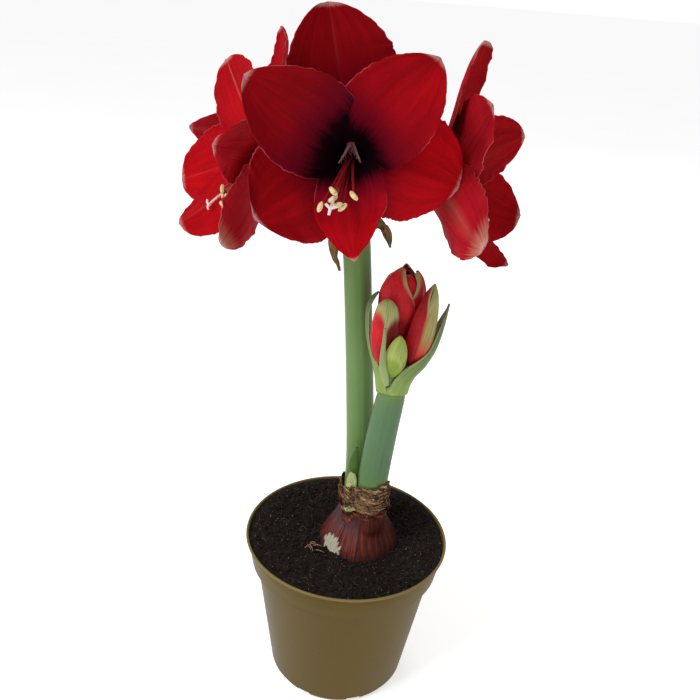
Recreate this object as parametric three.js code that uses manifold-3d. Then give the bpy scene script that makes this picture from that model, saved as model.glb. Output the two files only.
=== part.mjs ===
// Amaryllis in a pot: a forced bulb with two scapes, one carrying an umbel of four open
// blooms and one a cluster of opening buds, in a tapered plastic pot filled with peat.
// Millimetres, +Z up. The origin is the centre of the pot's underside, -Y is the front.
import * as THREE from 'three';
import { mergeVertices } from 'three/addons/utils/BufferGeometryUtils.js';
import Module from 'manifold-3d';

const wasm = await Module();
wasm.setup();

// ---------------------------------------------------------------- driving dimensions
const FIT_GAP = 0.35;          // clearance between neighbouring pieces
const BLADE_THICKNESS = 0.9;   // tepals, spathes and bracts

const POT = {
  rimRadius: 75, height: 120, collarStep: 98.5, footRadius: 49.2, wall: 1.3,
  floorTop: 6, floorUnderside: 3.5, footRingInner: 46, centrePad: 9, rimWidth: 1.6, sides: 36,
  turn: 4, notches: 8, notchWidth: 11, notchHeight: 4.6, drainHoles: 4, drainRadius: 4,
};
const SOIL = { edgeLevel: 117, level: 111, lumpHeight: 2.2, sectors: 26 };
const BULB = { centre: [9.8, 11], neckFrom: 120, neckWall: 0.9, sides: 24 };

// Centre lines of the two scapes with the radius at each point: [x, y, z, radius].
const TALL_SCAPE = [
  [5.6, 21.4, 128, 10.2], [5.5, 21, 167, 10.3], [1.2, 20, 225, 9.9], [-4, 19, 280, 9.5],
  [-8.5, 18.3, 325, 9.4], [-11, 18, 346, 9.6], [-11.2, 18, 352, 7.4],
];
const SHORT_SCAPE = [
  [15.2, 1.2, 128, 10.9], [15.3, 1, 160, 11], [18, -1.5, 200, 10.7], [21.5, -5, 236, 10],
  [22.5, -6, 246, 9.2], [23, -6, 251, 6.5],
];

// ---------------------------------------------------------------- small helpers
const vec = (x, y, z) => new THREE.Vector3(x, y, z);
const radians = THREE.MathUtils.degToRad;
const clamp01 = (x) => THREE.MathUtils.clamp(x, 0, 1);
const smooth = (x) => THREE.MathUtils.smoothstep(x, 0, 1);

/** Repeatable random numbers from 0 to 1. */
function randomStream(seed) {
  let state = seed;
  return () => {
    state = (state * 1664525 + 1013904223) % 4294967296;
    return state / 4294967296;
  };
}

/** Value of a row of numbers at share t of its length, eased between neighbours. */
function along(row, t) {
  const place = clamp01(t) * (row.length - 1);
  const index = Math.min(Math.floor(place), row.length - 2);
  return THREE.MathUtils.lerp(row[index], row[index + 1], place - index);
}

function geometryFrom(points, triangles) {
  const geometry = new THREE.BufferGeometry();
  const numbers = points.flatMap((point) => point.toArray());
  geometry.setAttribute('position', new THREE.Float32BufferAttribute(numbers, 3));
  geometry.setIndex(triangles.flat());
  return geometry;
}

/** A closed three.js geometry as a solid that can be joined and cut. */
function solidFrom(source) {
  const geometry = source.clone();
  geometry.deleteAttribute('normal');
  geometry.deleteAttribute('uv');
  const merged = mergeVertices(geometry, 1e-4);
  return new wasm.Manifold(new wasm.Mesh({
    numProp: 3,
    vertProperties: new Float32Array(merged.attributes.position.array),
    triVerts: new Uint32Array(merged.index.array),
  }));
}

/** The outer body of a solid: sealed pockets left between joined pieces are filled. */
function outerBody(solid) {
  const bodies = solid.decompose().sort((a, b) => b.volume() - a.volume());
  return bodies[0];
}

function geometryOf(solid) {
  const mesh = solid.getMesh();
  const positions = new Float32Array(mesh.vertProperties);
  const geometry = new THREE.BufferGeometry();
  geometry.setAttribute('position', new THREE.BufferAttribute(positions, 3));
  geometry.setIndex(new THREE.BufferAttribute(new Uint32Array(mesh.triVerts), 1));
  return geometry;
}

const joined = (solids) => solids.reduce((sum, next) => sum.add(next));
const cutBy = (solid, cutters) => cutters.reduce((rest, cutter) => rest.subtract(cutter), solid);

// ---------------------------------------------------------------- lofts and blades
/** A closed loft through rings of equal length, with a point at each end. */
function loft(rings, start, end) {
  const sides = rings[0].length;
  const points = [...rings.flat(), start, end];
  const triangles = [];
  for (let row = 0; row < rings.length - 1; row += 1) {
    for (let k = 0; k < sides; k += 1) {
      const next = (k + 1) % sides;
      const [low, high] = [row * sides, (row + 1) * sides];
      triangles.push([low + k, low + next, high + next], [low + k, high + next, high + k]);
    }
  }
  const last = (rings.length - 1) * sides;
  for (let k = 0; k < sides; k += 1) {
    const next = (k + 1) % sides;
    triangles.push([points.length - 2, next, k], [points.length - 1, last + k, last + next]);
  }
  return geometryFrom(points, triangles);
}

/** Two unit vectors across a direction, the first pointing as near +X as it can. */
function across(direction) {
  const second = vec(0, 0, 0).crossVectors(direction, vec(1, 0, 0));
  if (second.length() < 0.2) second.crossVectors(direction, vec(0, 1, 0));
  second.normalize();
  const first = vec(0, 0, 0).crossVectors(second, direction).normalize();
  return [first, second];
}

/** A round rod of changing radius along a curve. */
function rod(curve, radiusAt, sides, steps) {
  const rings = [];
  for (let i = 0; i <= steps; i += 1) {
    const t = i / steps;
    const [u, w] = across(curve.getTangent(t));
    const centre = curve.getPoint(t);
    rings.push(Array.from({ length: sides }, (_, k) => {
      const angle = (2 * Math.PI * k) / sides;
      return centre.clone().addScaledVector(u, radiusAt(t) * Math.cos(angle))
        .addScaledVector(w, radiusAt(t) * Math.sin(angle));
    }));
  }
  return loft(rings, curve.getPoint(0), curve.getPoint(1));
}

/** Widens a blade's centre surface to a closed solid: rows of points, both faces alike. */
function thicken(rows, thickness) {
  const last = rows.length - 1;
  const columns = rows[0].length;
  const { clamp } = THREE.MathUtils;
  const at = (i, j) => rows[clamp(i, 0, last)][clamp(j, 0, columns - 1)];
  const front = [];
  const back = [];
  for (let i = 0; i <= last; i += 1) {
    for (let j = 0; j < columns; j += 1) {
      const alongRow = at(i, j + 1).clone().sub(at(i, j - 1));
      const alongSpine = at(i + 1, j).clone().sub(at(i - 1, j));
      const normal = alongSpine.cross(alongRow).normalize().multiplyScalar(-thickness / 2);
      front.push(at(i, j).clone().add(normal));
      back.push(at(i, j).clone().sub(normal));
    }
  }
  const triangles = [];
  const offset = front.length;
  for (let i = 0; i < last; i += 1) {
    for (let j = 0; j < columns - 1; j += 1) {
      const a = i * columns + j;
      const [b, c, d] = [a + 1, a + columns + 1, a + columns];
      triangles.push([a, b, c], [a, c, d]);
      triangles.push([offset + a, offset + c, offset + b], [offset + a, offset + d, offset + c]);
    }
  }
  const rim = [];
  for (let j = 0; j < columns - 1; j += 1) rim.push([j, j + 1]);
  for (let i = 0; i < last; i += 1) rim.push([(i + 1) * columns - 1, (i + 2) * columns - 1]);
  for (let j = columns - 1; j > 0; j -= 1) rim.push([last * columns + j, last * columns + j - 1]);
  for (let i = last; i > 0; i -= 1) rim.push([i * columns, (i - 1) * columns]);
  rim.forEach(([a, b]) => triangles.push([b, a, offset + a], [b, offset + a, offset + b]));
  return geometryFrom([...front, ...back], triangles);
}

/** One row of a blade: an arc of half width and half angle, hollow towards its face. */
function arcRow(centre, lateral, face, halfWidth, halfAngle, columns, lift = () => 0) {
  const bend = Math.abs(halfAngle) < 1e-3 ? 1e-3 : halfAngle;
  return Array.from({ length: columns + 1 }, (_, j) => {
    const u = (2 * j) / columns - 1;
    const sideways = (halfWidth * Math.sin(bend * u)) / bend;
    const forward = (halfWidth * (1 - Math.cos(bend * u))) / bend + lift(u);
    return centre.clone().addScaledVector(lateral, sideways).addScaledVector(face, forward);
  });
}

/** A leaf-like blade along a curve; face is the side that its hollow looks to. */
function blade({
  spine, halfWidths, cup, face, turn = [0, 0], rows = 8, columns = 4, thickness = BLADE_THICKNESS,
}) {
  const curve = new THREE.CatmullRomCurve3(spine.map((p) => vec(...p)), false, 'centripetal');
  const grid = [];
  for (let i = 0; i <= rows; i += 1) {
    const t = i / rows;
    const tangent = curve.getTangent(t);
    const inner = vec(...face);
    inner.addScaledVector(tangent, -inner.dot(tangent)).normalize();
    inner.applyAxisAngle(tangent, radians(along(turn, t)));
    const lateral = vec(0, 0, 0).crossVectors(tangent, inner);
    const [halfWidth, halfAngle] = [along(halfWidths, t), radians(along(cup, t))];
    grid.push(arcRow(curve.getPoint(t), lateral, inner, halfWidth, halfAngle, columns));
  }
  return thicken(grid, thickness);
}

// ---------------------------------------------------------------- nodes
const amaryllis = new THREE.Group();

function addNode(name, geometry, color, roughness, metalness = 0) {
  const flat = geometry.index ? geometry.toNonIndexed() : geometry;
  flat.deleteAttribute('normal');
  flat.computeVertexNormals();
  const material = new THREE.MeshStandardMaterial({ color, roughness, metalness, flatShading: true });
  const mesh = new THREE.Mesh(flat, material);
  mesh.name = name;
  amaryllis.add(mesh);
}

const COLOURS = {
  pot: 0x7d693c, soil: 0x2e231d, bulb: 0x6b2a24, tunic: 0xa9835c, scale: 0xc9c98a,
  stem: 0x7f9a5c, leaf: 0x6f8f45, bloom: 0xb5101a, bract: 0x8a6b3e, spathe: 0x9fae72,
  bud: 0xb23a3a, greenBud: 0x7f9160,
};

// ---------------------------------------------------------------- pot
function potWithNotches() {
  const { rimRadius: rim, height: top, collarStep: step, footRadius: foot, wall } = POT;
  const profile = [
    [0, 0], [POT.centrePad, 0], [POT.centrePad + 1, POT.floorUnderside],
    [POT.footRingInner, POT.floorUnderside], [POT.footRingInner, 0],
    [foot, 0], [foot + 2.7, 4.7], [rim - 8.8, step], [rim - 5, step],
    [rim - 1.8, top - 2.4], [rim, top - 1.5], [rim, top], [rim - POT.rimWidth, top],
    [rim - 6.3, step], [rim - 8.8 - wall, step - 1.5],
    [foot + 2.7 - wall, POT.floorTop], [0, POT.floorTop],
  ];
  const shell = new THREE.LatheGeometry(profile.map(([r, z]) => new THREE.Vector2(r, z)), POT.sides);
  shell.rotateX(Math.PI / 2);
  shell.rotateZ(radians(POT.turn));
  const cutters = [];
  for (let k = 0; k < POT.notches; k += 1) {
    const notch = new THREE.BoxGeometry(20, POT.notchWidth, POT.notchHeight * 2);
    notch.translate(POT.footRadius, 0, 0);
    notch.rotateZ(radians(18 + (360 * k) / POT.notches));
    cutters.push(solidFrom(notch));
  }
  for (let k = 0; k < POT.drainHoles; k += 1) {
    const hole = new THREE.CylinderGeometry(POT.drainRadius, POT.drainRadius, 12, 8);
    hole.rotateX(Math.PI / 2);
    hole.translate(POT.footRadius * 0.55, 0, POT.floorTop - 1);
    hole.rotateZ(radians(45 + (360 * k) / POT.drainHoles));
    cutters.push(solidFrom(hole));
  }
  return cutBy(solidFrom(shell), cutters);
}
addNode('pot', geometryOf(potWithNotches()), COLOURS.pot, 0.5);

// ---------------------------------------------------------------- scapes
const SCAPE_SIDES = 14;
const SCAPE_STEPS = 8;

/** A scape as level rings along its centre line; extra widens it, to cut its hole. */
function scape(stations, steps, extra = 0) {
  const centres = stations.map(([x, y, z]) => vec(x, y, z));
  const curve = new THREE.CatmullRomCurve3(centres, false, 'centripetal');
  const radii = stations.map((station) => station[3] + extra);
  const rings = Array.from({ length: steps + 1 }, (_, i) => {
    const centre = curve.getPoint(i / steps);
    const radius = along(radii, i / steps);
    return Array.from({ length: SCAPE_SIDES }, (__, k) => {
      const angle = (2 * Math.PI * k) / SCAPE_SIDES;
      return vec(centre.x + radius * Math.cos(angle), centre.y + radius * Math.sin(angle), centre.z);
    });
  });
  return loft(rings, curve.getPoint(0), curve.getPoint(1).add(vec(0, 0, 0.6)));
}

// ---------------------------------------------------------------- blooms
// A tepal leaves the tube at an angle to the bloom's axis ("mouth") and bends outward to
// "flare". "around" is its place round the throat, anticlockwise from the right as seen
// from the front; "fullest" moves the widest part towards the tip, "blunt" rounds the end.
const SEPAL = {
  mouth: 16, bendFrom: 0.05, bendTo: 0.64, rootRadius: 5.5, rootLift: -3, cupTip: 8,
  fullest: 1.2, blunt: 0.6, curl: 0, keel: 0, twist: 0, tipShare: 0.02,
};
const PETAL = {
  mouth: 14, bendFrom: 0.1, bendTo: 0.7, rootRadius: 4, rootLift: 0, cupTip: 18,
  fullest: 1.3, blunt: 0.5, curl: 0, keel: 0, twist: 0, tipShare: 0.02,
};
const CURL_FROM = 0.72;
const ROOT_SPAN = 0.95;        // half width of a root as a share of its distance from the axis

const BLOOMS = {
  front: {
    throat: [-18, -10.5, 401.3], heading: 2.5, rise: 11.5, roll: 0, reach: 57, droop: 1, sway: 0,
    tepals: [
      {
        ...SEPAL, around: 103, length: 94, width: 65.6, flare: 82.7, curl: 17, twist: 17.3,
        cupTip: 17.4, keel: 0.11, fullest: 1.14, blunt: 0.56,
      },
      {
        ...SEPAL, around: 217, length: 78, width: 63, flare: 79, curl: -17.5, twist: 1.8,
        cupTip: 10.2, keel: 0.18, fullest: 1.52, blunt: 0.65,
      },
      {
        ...SEPAL, around: 347, length: 74, width: 65.5, flare: 93.7, curl: 6.3, twist: 28,
        cupTip: -4.8, keel: -0.25, fullest: 1.37, blunt: 0.48,
      },
      {
        ...PETAL, around: 51, length: 91, width: 54.2, flare: 68, curl: -1.4, twist: 1.9,
        cupTip: 24.4, keel: 0, fullest: 1.16, blunt: 0.58,
      },
      {
        ...PETAL, around: 150, length: 95.8, width: 55.6, flare: 64, curl: 6.5, twist: -12.4,
        cupTip: 26.8, keel: 0.07, fullest: 1.23, blunt: 0.64,
      },
      {
        ...PETAL, around: 275.4, length: 79, width: 42.8, flare: 69, curl: 8.6, twist: 33.2,
        cupTip: 20.6, keel: 0.12, fullest: 1.28, blunt: 0.81,
      },
    ],
  },
  left: {
    throat: [-47.6, 22, 397.2], heading: -63.8, rise: -2, roll: -6, reach: 54, droop: 1.18, sway: 8,
    tepals: [
      {
        ...SEPAL, around: 116.7, length: 83.2, width: 46, flare: 110.2, curl: -37.7, twist: -0.6,
        cupTip: 29.1, keel: -0.04, fullest: 1.04, blunt: 0.52, bendTo: 0.5,
      },
      {
        ...SEPAL, around: 212, length: 97.2, width: 53.2, flare: 59.6, curl: -11.3, twist: 2.7,
        cupTip: 9.8, keel: 0, fullest: 1.21, blunt: 0.45,
      },
      {
        ...SEPAL, around: 318, length: 92, width: 52, flare: 52, curl: -13.4, twist: 49.5,
        cupTip: 17, keel: -0.1, fullest: 1.1, blunt: 0.63,
      },
      {
        ...PETAL, around: 23.6, length: 80.3, width: 50.3, flare: 44.3, curl: -48.7, twist: -49,
        cupTip: -4.7, keel: -0.12, fullest: 1.26, blunt: 0.5,
      },
      {
        ...PETAL, around: 129, length: 76.8, width: 60, flare: 79.4, curl: 1.9, twist: 18,
        cupTip: 10.2, keel: -0.02, fullest: 1.38, blunt: 0.53,
      },
      {
        ...PETAL, around: 254.7, length: 93.8, width: 55.4, flare: 47, curl: -20.6, twist: 9,
        cupTip: -1.3, keel: -0.17, fullest: 1.51, blunt: 0.47,
      },
    ],
  },
  right: {
    throat: [15, 14.3, 390], heading: 74, rise: 0.9, roll: 0, reach: 50, droop: 0.8, sway: 0,
    tepals: [
      {
        ...SEPAL, around: 94.3, length: 94, width: 34.3, flare: 75.5, curl: -15.6, twist: -22.7,
        cupTip: 43, keel: 0, fullest: 1.19, blunt: 0.34, bendTo: 0.5, tipShare: 0.25,
      },
      {
        ...SEPAL, around: 203, length: 93, width: 58, flare: 57.3, curl: -16.2, twist: -27.5,
        cupTip: 41, keel: -0.2, fullest: 1.15, blunt: 0.59,
      },
      {
        ...SEPAL, around: 328, length: 95.3, width: 55, flare: 51.6, curl: -29.4, twist: -8,
        cupTip: 5.2, keel: -0.04, fullest: 1.4, blunt: 0.49,
      },
      {
        ...PETAL, around: 21.8, length: 88.7, width: 48.6, flare: 56.4, curl: -12.6, twist: -6.9,
        cupTip: 10.7, keel: -0.17, fullest: 1.18, blunt: 0.53,
      },
      {
        ...PETAL, around: 129, length: 87.7, width: 52.3, flare: 66.4, curl: 5, twist: 34.8,
        cupTip: 22.2, keel: -0.24, fullest: 1.2, blunt: 0.56,
      },
      {
        ...PETAL, around: 271.3, length: 90, width: 40.7, flare: 51.5, curl: -32.2, twist: 7,
        cupTip: 5, keel: -0.12, fullest: 1.3, blunt: 0.53,
      },
    ],
  },
  back: {
    throat: [-40, 54, 388], heading: -158, rise: 6, roll: 0, reach: 52, droop: 0.9, sway: 0,
    tepals: [
      {
        ...SEPAL, around: 114, length: 76, width: 54, flare: 62, curl: 0, twist: 0,
        cupTip: 8, keel: 0, fullest: 1.2, blunt: 0.6,
      },
      {
        ...SEPAL, around: 236, length: 84, width: 54, flare: 70, curl: -8, twist: 6,
        cupTip: 10, keel: -0.1, fullest: 1.2, blunt: 0.6,
      },
      {
        ...SEPAL, around: 3.7, length: 96.6, width: 44.2, flare: 83.8, curl: -18.7, twist: -26.2,
        cupTip: 5.9, keel: -0.11, fullest: 1.1, blunt: 0.67,
      },
      {
        ...PETAL, around: 56, length: 76, width: 54, flare: 60, curl: -10, twist: -5,
        cupTip: 14, keel: -0.1, fullest: 1.3, blunt: 0.5,
      },
      {
        ...PETAL, around: 174, length: 80, width: 54, flare: 62, curl: 0, twist: 8,
        cupTip: 16, keel: 0, fullest: 1.3, blunt: 0.5,
      },
      {
        ...PETAL, around: 294, length: 78, width: 44, flare: 72, curl: -12, twist: 0,
        cupTip: 14, keel: -0.1, fullest: 1.3, blunt: 0.5,
      },
    ],
  },
};

// Where the six anthers and the stigma lie, right and up of the axis at full reach.
const ANTHERS = [[-9, -20.5], [-15.5, -29], [-9, -24.5], [-6.5, -27.5], [-3.5, -28.5], [2, -22]];
const STIGMA = [-10, -29];

/** Directions of a bloom: right and up as seen by someone facing it, and out of its mouth. */
function bloomAxes({ heading, rise, roll }) {
  const out = vec(
    Math.sin(radians(heading)) * Math.cos(radians(rise)),
    -Math.cos(radians(heading)) * Math.cos(radians(rise)),
    Math.sin(radians(rise)),
  );
  const up = vec(0, 0, 1).addScaledVector(out, -out.z).normalize();
  const right = vec(0, 0, 0).crossVectors(up, out);
  right.applyAxisAngle(out, radians(roll));
  up.applyAxisAngle(out, radians(roll));
  return { right, up, out };
}

/** Maps a point given as right, up and out of a bloom into the part's frame. */
function placer(bloom) {
  const { right, up, out } = bloomAxes(bloom);
  return (point) => vec(...bloom.throat).addScaledVector(right, point.x)
    .addScaledVector(up, point.y).addScaledVector(out, point.z);
}

/** Distance from the axis, distance along it and slope at each row of a tepal's spine. */
function tepalSpine(tepal, rows) {
  const fine = 24;
  const spine = [];
  let radius = tepal.rootRadius;
  let height = tepal.rootLift;
  for (let step = 0; step <= rows * fine; step += 1) {
    const t = step / (rows * fine);
    const opened = smooth((t - tepal.bendFrom) / (tepal.bendTo - tepal.bendFrom));
    const curled = clamp01((t - CURL_FROM) / (1 - CURL_FROM)) ** 1.5;
    const slope = radians(tepal.mouth + (tepal.flare - tepal.mouth) * opened + tepal.curl * curled);
    if (step % fine === 0) spine.push({ t, radius, height, slope });
    radius += (Math.sin(slope) * tepal.length) / (rows * fine);
    height += (Math.cos(slope) * tepal.length) / (rows * fine);
  }
  return spine;
}

function tepalGrid(tepal, rows, columns) {
  const angle = radians(tepal.around);
  const outward = vec(Math.cos(angle), Math.sin(angle), 0);
  const sideways = vec(-Math.sin(angle), Math.cos(angle), 0);
  return tepalSpine(tepal, rows).map(({ t, radius, height, slope }) => {
    const outline = Math.max(Math.sin(Math.PI * t ** tepal.fullest), 0) ** tepal.blunt;
    const rootHalf = radius * ROOT_SPAN * (1 - smooth((t - 0.1) / 0.3));
    const roomBeside = radius * (ROOT_SPAN + 1.6 * smooth((t - 0.15) / 0.35));
    const widest = Math.max((tepal.width / 2) * outline, rootHalf, (tepal.width / 2) * tepal.tipShare);
    const halfWidth = Math.min(widest, roomBeside);
    const free = smooth((t - 0.08) / 0.45);
    const halfAngle = THREE.MathUtils.lerp(Math.min(halfWidth / radius, 1), radians(tepal.cupTip), free);
    const face = outward.clone().multiplyScalar(-Math.cos(slope)).add(vec(0, 0, Math.sin(slope)));
    const spinAxis = vec(0, 0, 0).crossVectors(sideways, face);
    const turn = radians(tepal.twist) * t ** 1.3;
    const lateral = sideways.clone().applyAxisAngle(spinAxis, turn);
    face.applyAxisAngle(spinAxis, turn);
    const centre = outward.clone().multiplyScalar(radius).add(vec(0, 0, height));
    const keel = (u) => tepal.keel * Math.abs(u) * halfWidth * smooth(t / 0.5);
    return arcRow(centre, lateral, face, halfWidth, halfAngle, columns, keel);
  });
}

/** The short tube below the tepals, which carries their roots and the stamens. */
function tubeCup() {
  const profile = [[0, -9], [4.2, -9], [6.9, -1], [6.9, 2.4], [0, 2.4]];
  const cup = new THREE.LatheGeometry(profile.map(([r, z]) => new THREE.Vector2(r, z)), 9);
  cup.rotateX(Math.PI / 2);
  return cup;
}

/** A thin stalk that dips away from the axis and swells at its end, as rings of a loft. */
function stalk({ root, tip, stem, swelling, lobes = 0, sides = 4 }) {
  const bendPoint = vec(tip.x * 0.3, tip.y * 0.35, tip.z * 0.6);
  const curve = new THREE.QuadraticBezierCurve3(root, bendPoint, tip);
  const stemPlaces = [0, 0.35, 0.68, 0.93];
  const swellingPlaces = swelling.map((_, k) => 0.94 + (0.06 * (k + 1)) / swelling.length);
  const radii = [...stemPlaces.map(() => stem), ...swelling];
  const rings = [...stemPlaces, ...swellingPlaces].map((t, i) => {
    const [u, w] = across(curve.getTangent(t));
    return Array.from({ length: sides }, (_, k) => {
      const angle = (2 * Math.PI * k) / sides;
      const radius = radii[i] * (1 + (i > stemPlaces.length ? lobes * Math.cos(3 * angle) : 0));
      return curve.getPoint(t).addScaledVector(u, radius * Math.cos(angle))
        .addScaledVector(w, radius * Math.sin(angle));
    });
  });
  const ending = curve.getPoint(1).addScaledVector(curve.getTangent(1), 0.5);
  return loft(rings, root, ending);
}

function stamensAndPistil(bloom, random) {
  const stamens = ANTHERS.map(([right, up], k) => {
    const angle = radians(30 + 60 * k);
    const root = vec(2.4 * Math.cos(angle), 2.4 * Math.sin(angle), 1.2);
    const tip = vec(right + bloom.sway, up * bloom.droop, bloom.reach + 3 * (random() - 0.5));
    return stalk({ root, tip, stem: 0.7, swelling: [1.5, 1.5, 0.8] });
  });
  const pistil = stalk({
    root: vec(0, 0, 0.8), stem: 0.85, swelling: [1.6, 2.2], lobes: 0.45, sides: 6,
    tip: vec(STIGMA[0] + bloom.sway, STIGMA[1] * bloom.droop, bloom.reach + 8),
  });
  return [...stamens, pistil];
}

function bloomSolid(bloom, seed) {
  const random = randomStream(seed);
  const place = placer(bloom);
  const pieces = bloom.tepals.map((tepal) => thicken(tepalGrid(tepal, 8, 4), BLADE_THICKNESS));
  pieces.push(tubeCup(), ...stamensAndPistil(bloom, random));
  const solids = pieces.map((geometry) => {
    const { position } = geometry.attributes;
    for (let i = 0; i < position.count; i += 1) {
      const moved = place(vec(0, 0, 0).fromBufferAttribute(position, i));
      position.setXYZ(i, moved.x, moved.y, moved.z);
    }
    return solidFrom(geometry);
  });
  return outerBody(joined(solids));
}

const TUBE_BACK = -9;          // where the tube meets the ovary, along the bloom's axis

/** A pedicel from the scape's top to the back of a bloom, swelling into the ovary. */
function pedicel(bloom, top) {
  const { out } = bloomAxes(bloom);
  const end = vec(...bloom.throat).addScaledVector(out, TUBE_BACK - FIT_GAP);
  const start = vec(...top);
  const lean = end.clone().sub(start).setZ(0).normalize();
  const curve = new THREE.CubicBezierCurve3(
    start,
    start.clone().addScaledVector(lean, 9).add(vec(0, 0, 18)),
    end.clone().addScaledVector(out, -20),
    end,
  );
  const radii = [4.4, 3.9, 3.7, 3.7, 3.8, 4.4, 5.6, 5.9, 5.2, 3.9];
  return rod(curve, (t) => along(radii, t), 8, 8);
}

const UMBEL_TOP = [-11, 18, 344];
const tallScape = joined([
  solidFrom(scape(TALL_SCAPE, SCAPE_STEPS)),
  ...Object.values(BLOOMS).map((bloom) => solidFrom(pedicel(bloom, UMBEL_TOP))),
]);
addNode('scape_tall', geometryOf(outerBody(tallScape)), COLOURS.stem, 0.45);
Object.entries(BLOOMS).forEach(([name, bloom], k) => {
  addNode(`bloom_${name}`, geometryOf(bloomSolid(bloom, 11 + k)), COLOURS.bloom, 0.5);
});

// ---------------------------------------------------------------- buds on the short scape
/** An ovoid bud along a leaning line, ridged where its three outer tepals meet. */
function bud({
  base, tip, halfWidth, halfDepth, profile, ridge = 0.05, sides = 12, steps = 8, mouthDepth = 0,
}) {
  const start = vec(...base);
  const end = vec(...tip);
  const axis = end.clone().sub(start);
  const length = axis.length();
  axis.normalize();
  const [u, w] = across(axis);
  const rings = [];
  for (let i = 0; i <= steps; i += 1) {
    const t = i / steps;
    rings.push(Array.from({ length: sides }, (_, k) => {
      const angle = (2 * Math.PI * k) / sides;
      const swell = along(profile, t) * (1 + ridge * Math.cos(3 * angle + 0.6));
      return start.clone().addScaledVector(axis, t * length)
        .addScaledVector(u, swell * halfWidth * Math.cos(angle))
        .addScaledVector(w, swell * halfDepth * Math.sin(angle));
    }));
  }
  if (mouthDepth > 0) {
    [[0.62, 0.35], [0.36, 1]].forEach(([share, depth]) => {
      const rim = rings[steps];
      const centre = start.clone().addScaledVector(axis, length);
      rings.push(rim.map((p) => p.clone().sub(centre).multiplyScalar(share).add(centre)
        .addScaledVector(axis, -depth * mouthDepth)));
    });
  }
  const closingStep = mouthDepth > 0 ? -0.5 * mouthDepth : 1.2;
  const closing = start.clone().addScaledVector(axis, length + closingStep);
  return loft(rings, start.clone().addScaledVector(axis, -0.3), closing);
}

const OVOID = [0.42, 0.68, 0.87, 0.97, 1, 0.98, 0.93, 0.84, 0.68, 0.4];
const POINTED = [0.42, 0.7, 0.9, 1, 1, 0.94, 0.84, 0.68, 0.46, 0.16];
const OPENING = [0.28, 0.36, 0.46, 0.58, 0.73, 0.88, 0.99, 1, 0.96, 0.8, 0.46];
const BUDS = {
  bud_left: {
    base: [13.9, -11.3, 267.2], tip: [13, -14.4, 312], halfWidth: 9, halfDepth: 5.4, profile: OVOID,
  },
  bud_centre: {
    base: [21.4, 1, 262], tip: [22.8, 2.6, 331], halfWidth: 15, halfDepth: 11.5, profile: OPENING,
    ridge: 0.06, sides: 15, steps: 10, mouthDepth: 9,
  },
  bud_right: {
    base: [33.4, -10, 266], tip: [42, -9.6, 323.4], halfWidth: 8.3, halfDepth: 6.6, profile: POINTED,
  },
  bud_green: {
    base: [20.4, -14.6, 260.2], tip: [22.8, -25.2, 292], halfWidth: 6.8, halfDepth: 4.6, profile: POINTED,
  },
};
const BUD_PEDICEL_RADIUS = { bud_left: 2, bud_centre: 4.4, bud_right: 2.5, bud_green: 2 };
const CLUSTER_BASE = [23, -6.5, 246];

function budPedicel(name) {
  const { base, tip } = BUDS[name];
  const end = vec(...base);
  const direction = vec(...tip).sub(end).normalize();
  end.addScaledVector(direction, -0.3 - FIT_GAP);
  const start = vec(...CLUSTER_BASE).lerp(vec(end.x, end.y, CLUSTER_BASE[2]), 0.25);
  const curve = new THREE.QuadraticBezierCurve3(start, end.clone().addScaledVector(direction, -8), end);
  return rod(curve, (t) => BUD_PEDICEL_RADIUS[name] * (1.2 - 0.2 * t), 7, 3);
}

const shortScape = joined([
  solidFrom(scape(SHORT_SCAPE, SCAPE_STEPS)),
  ...Object.keys(BUDS).map((name) => solidFrom(budPedicel(name))),
]);
addNode('scape_short', geometryOf(outerBody(shortScape)), COLOURS.stem, 0.5);
Object.entries(BUDS).forEach(([name, shape]) => {
  addNode(name, bud(shape), name === 'bud_green' ? COLOURS.greenBud : COLOURS.bud, 0.5);
});

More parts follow.
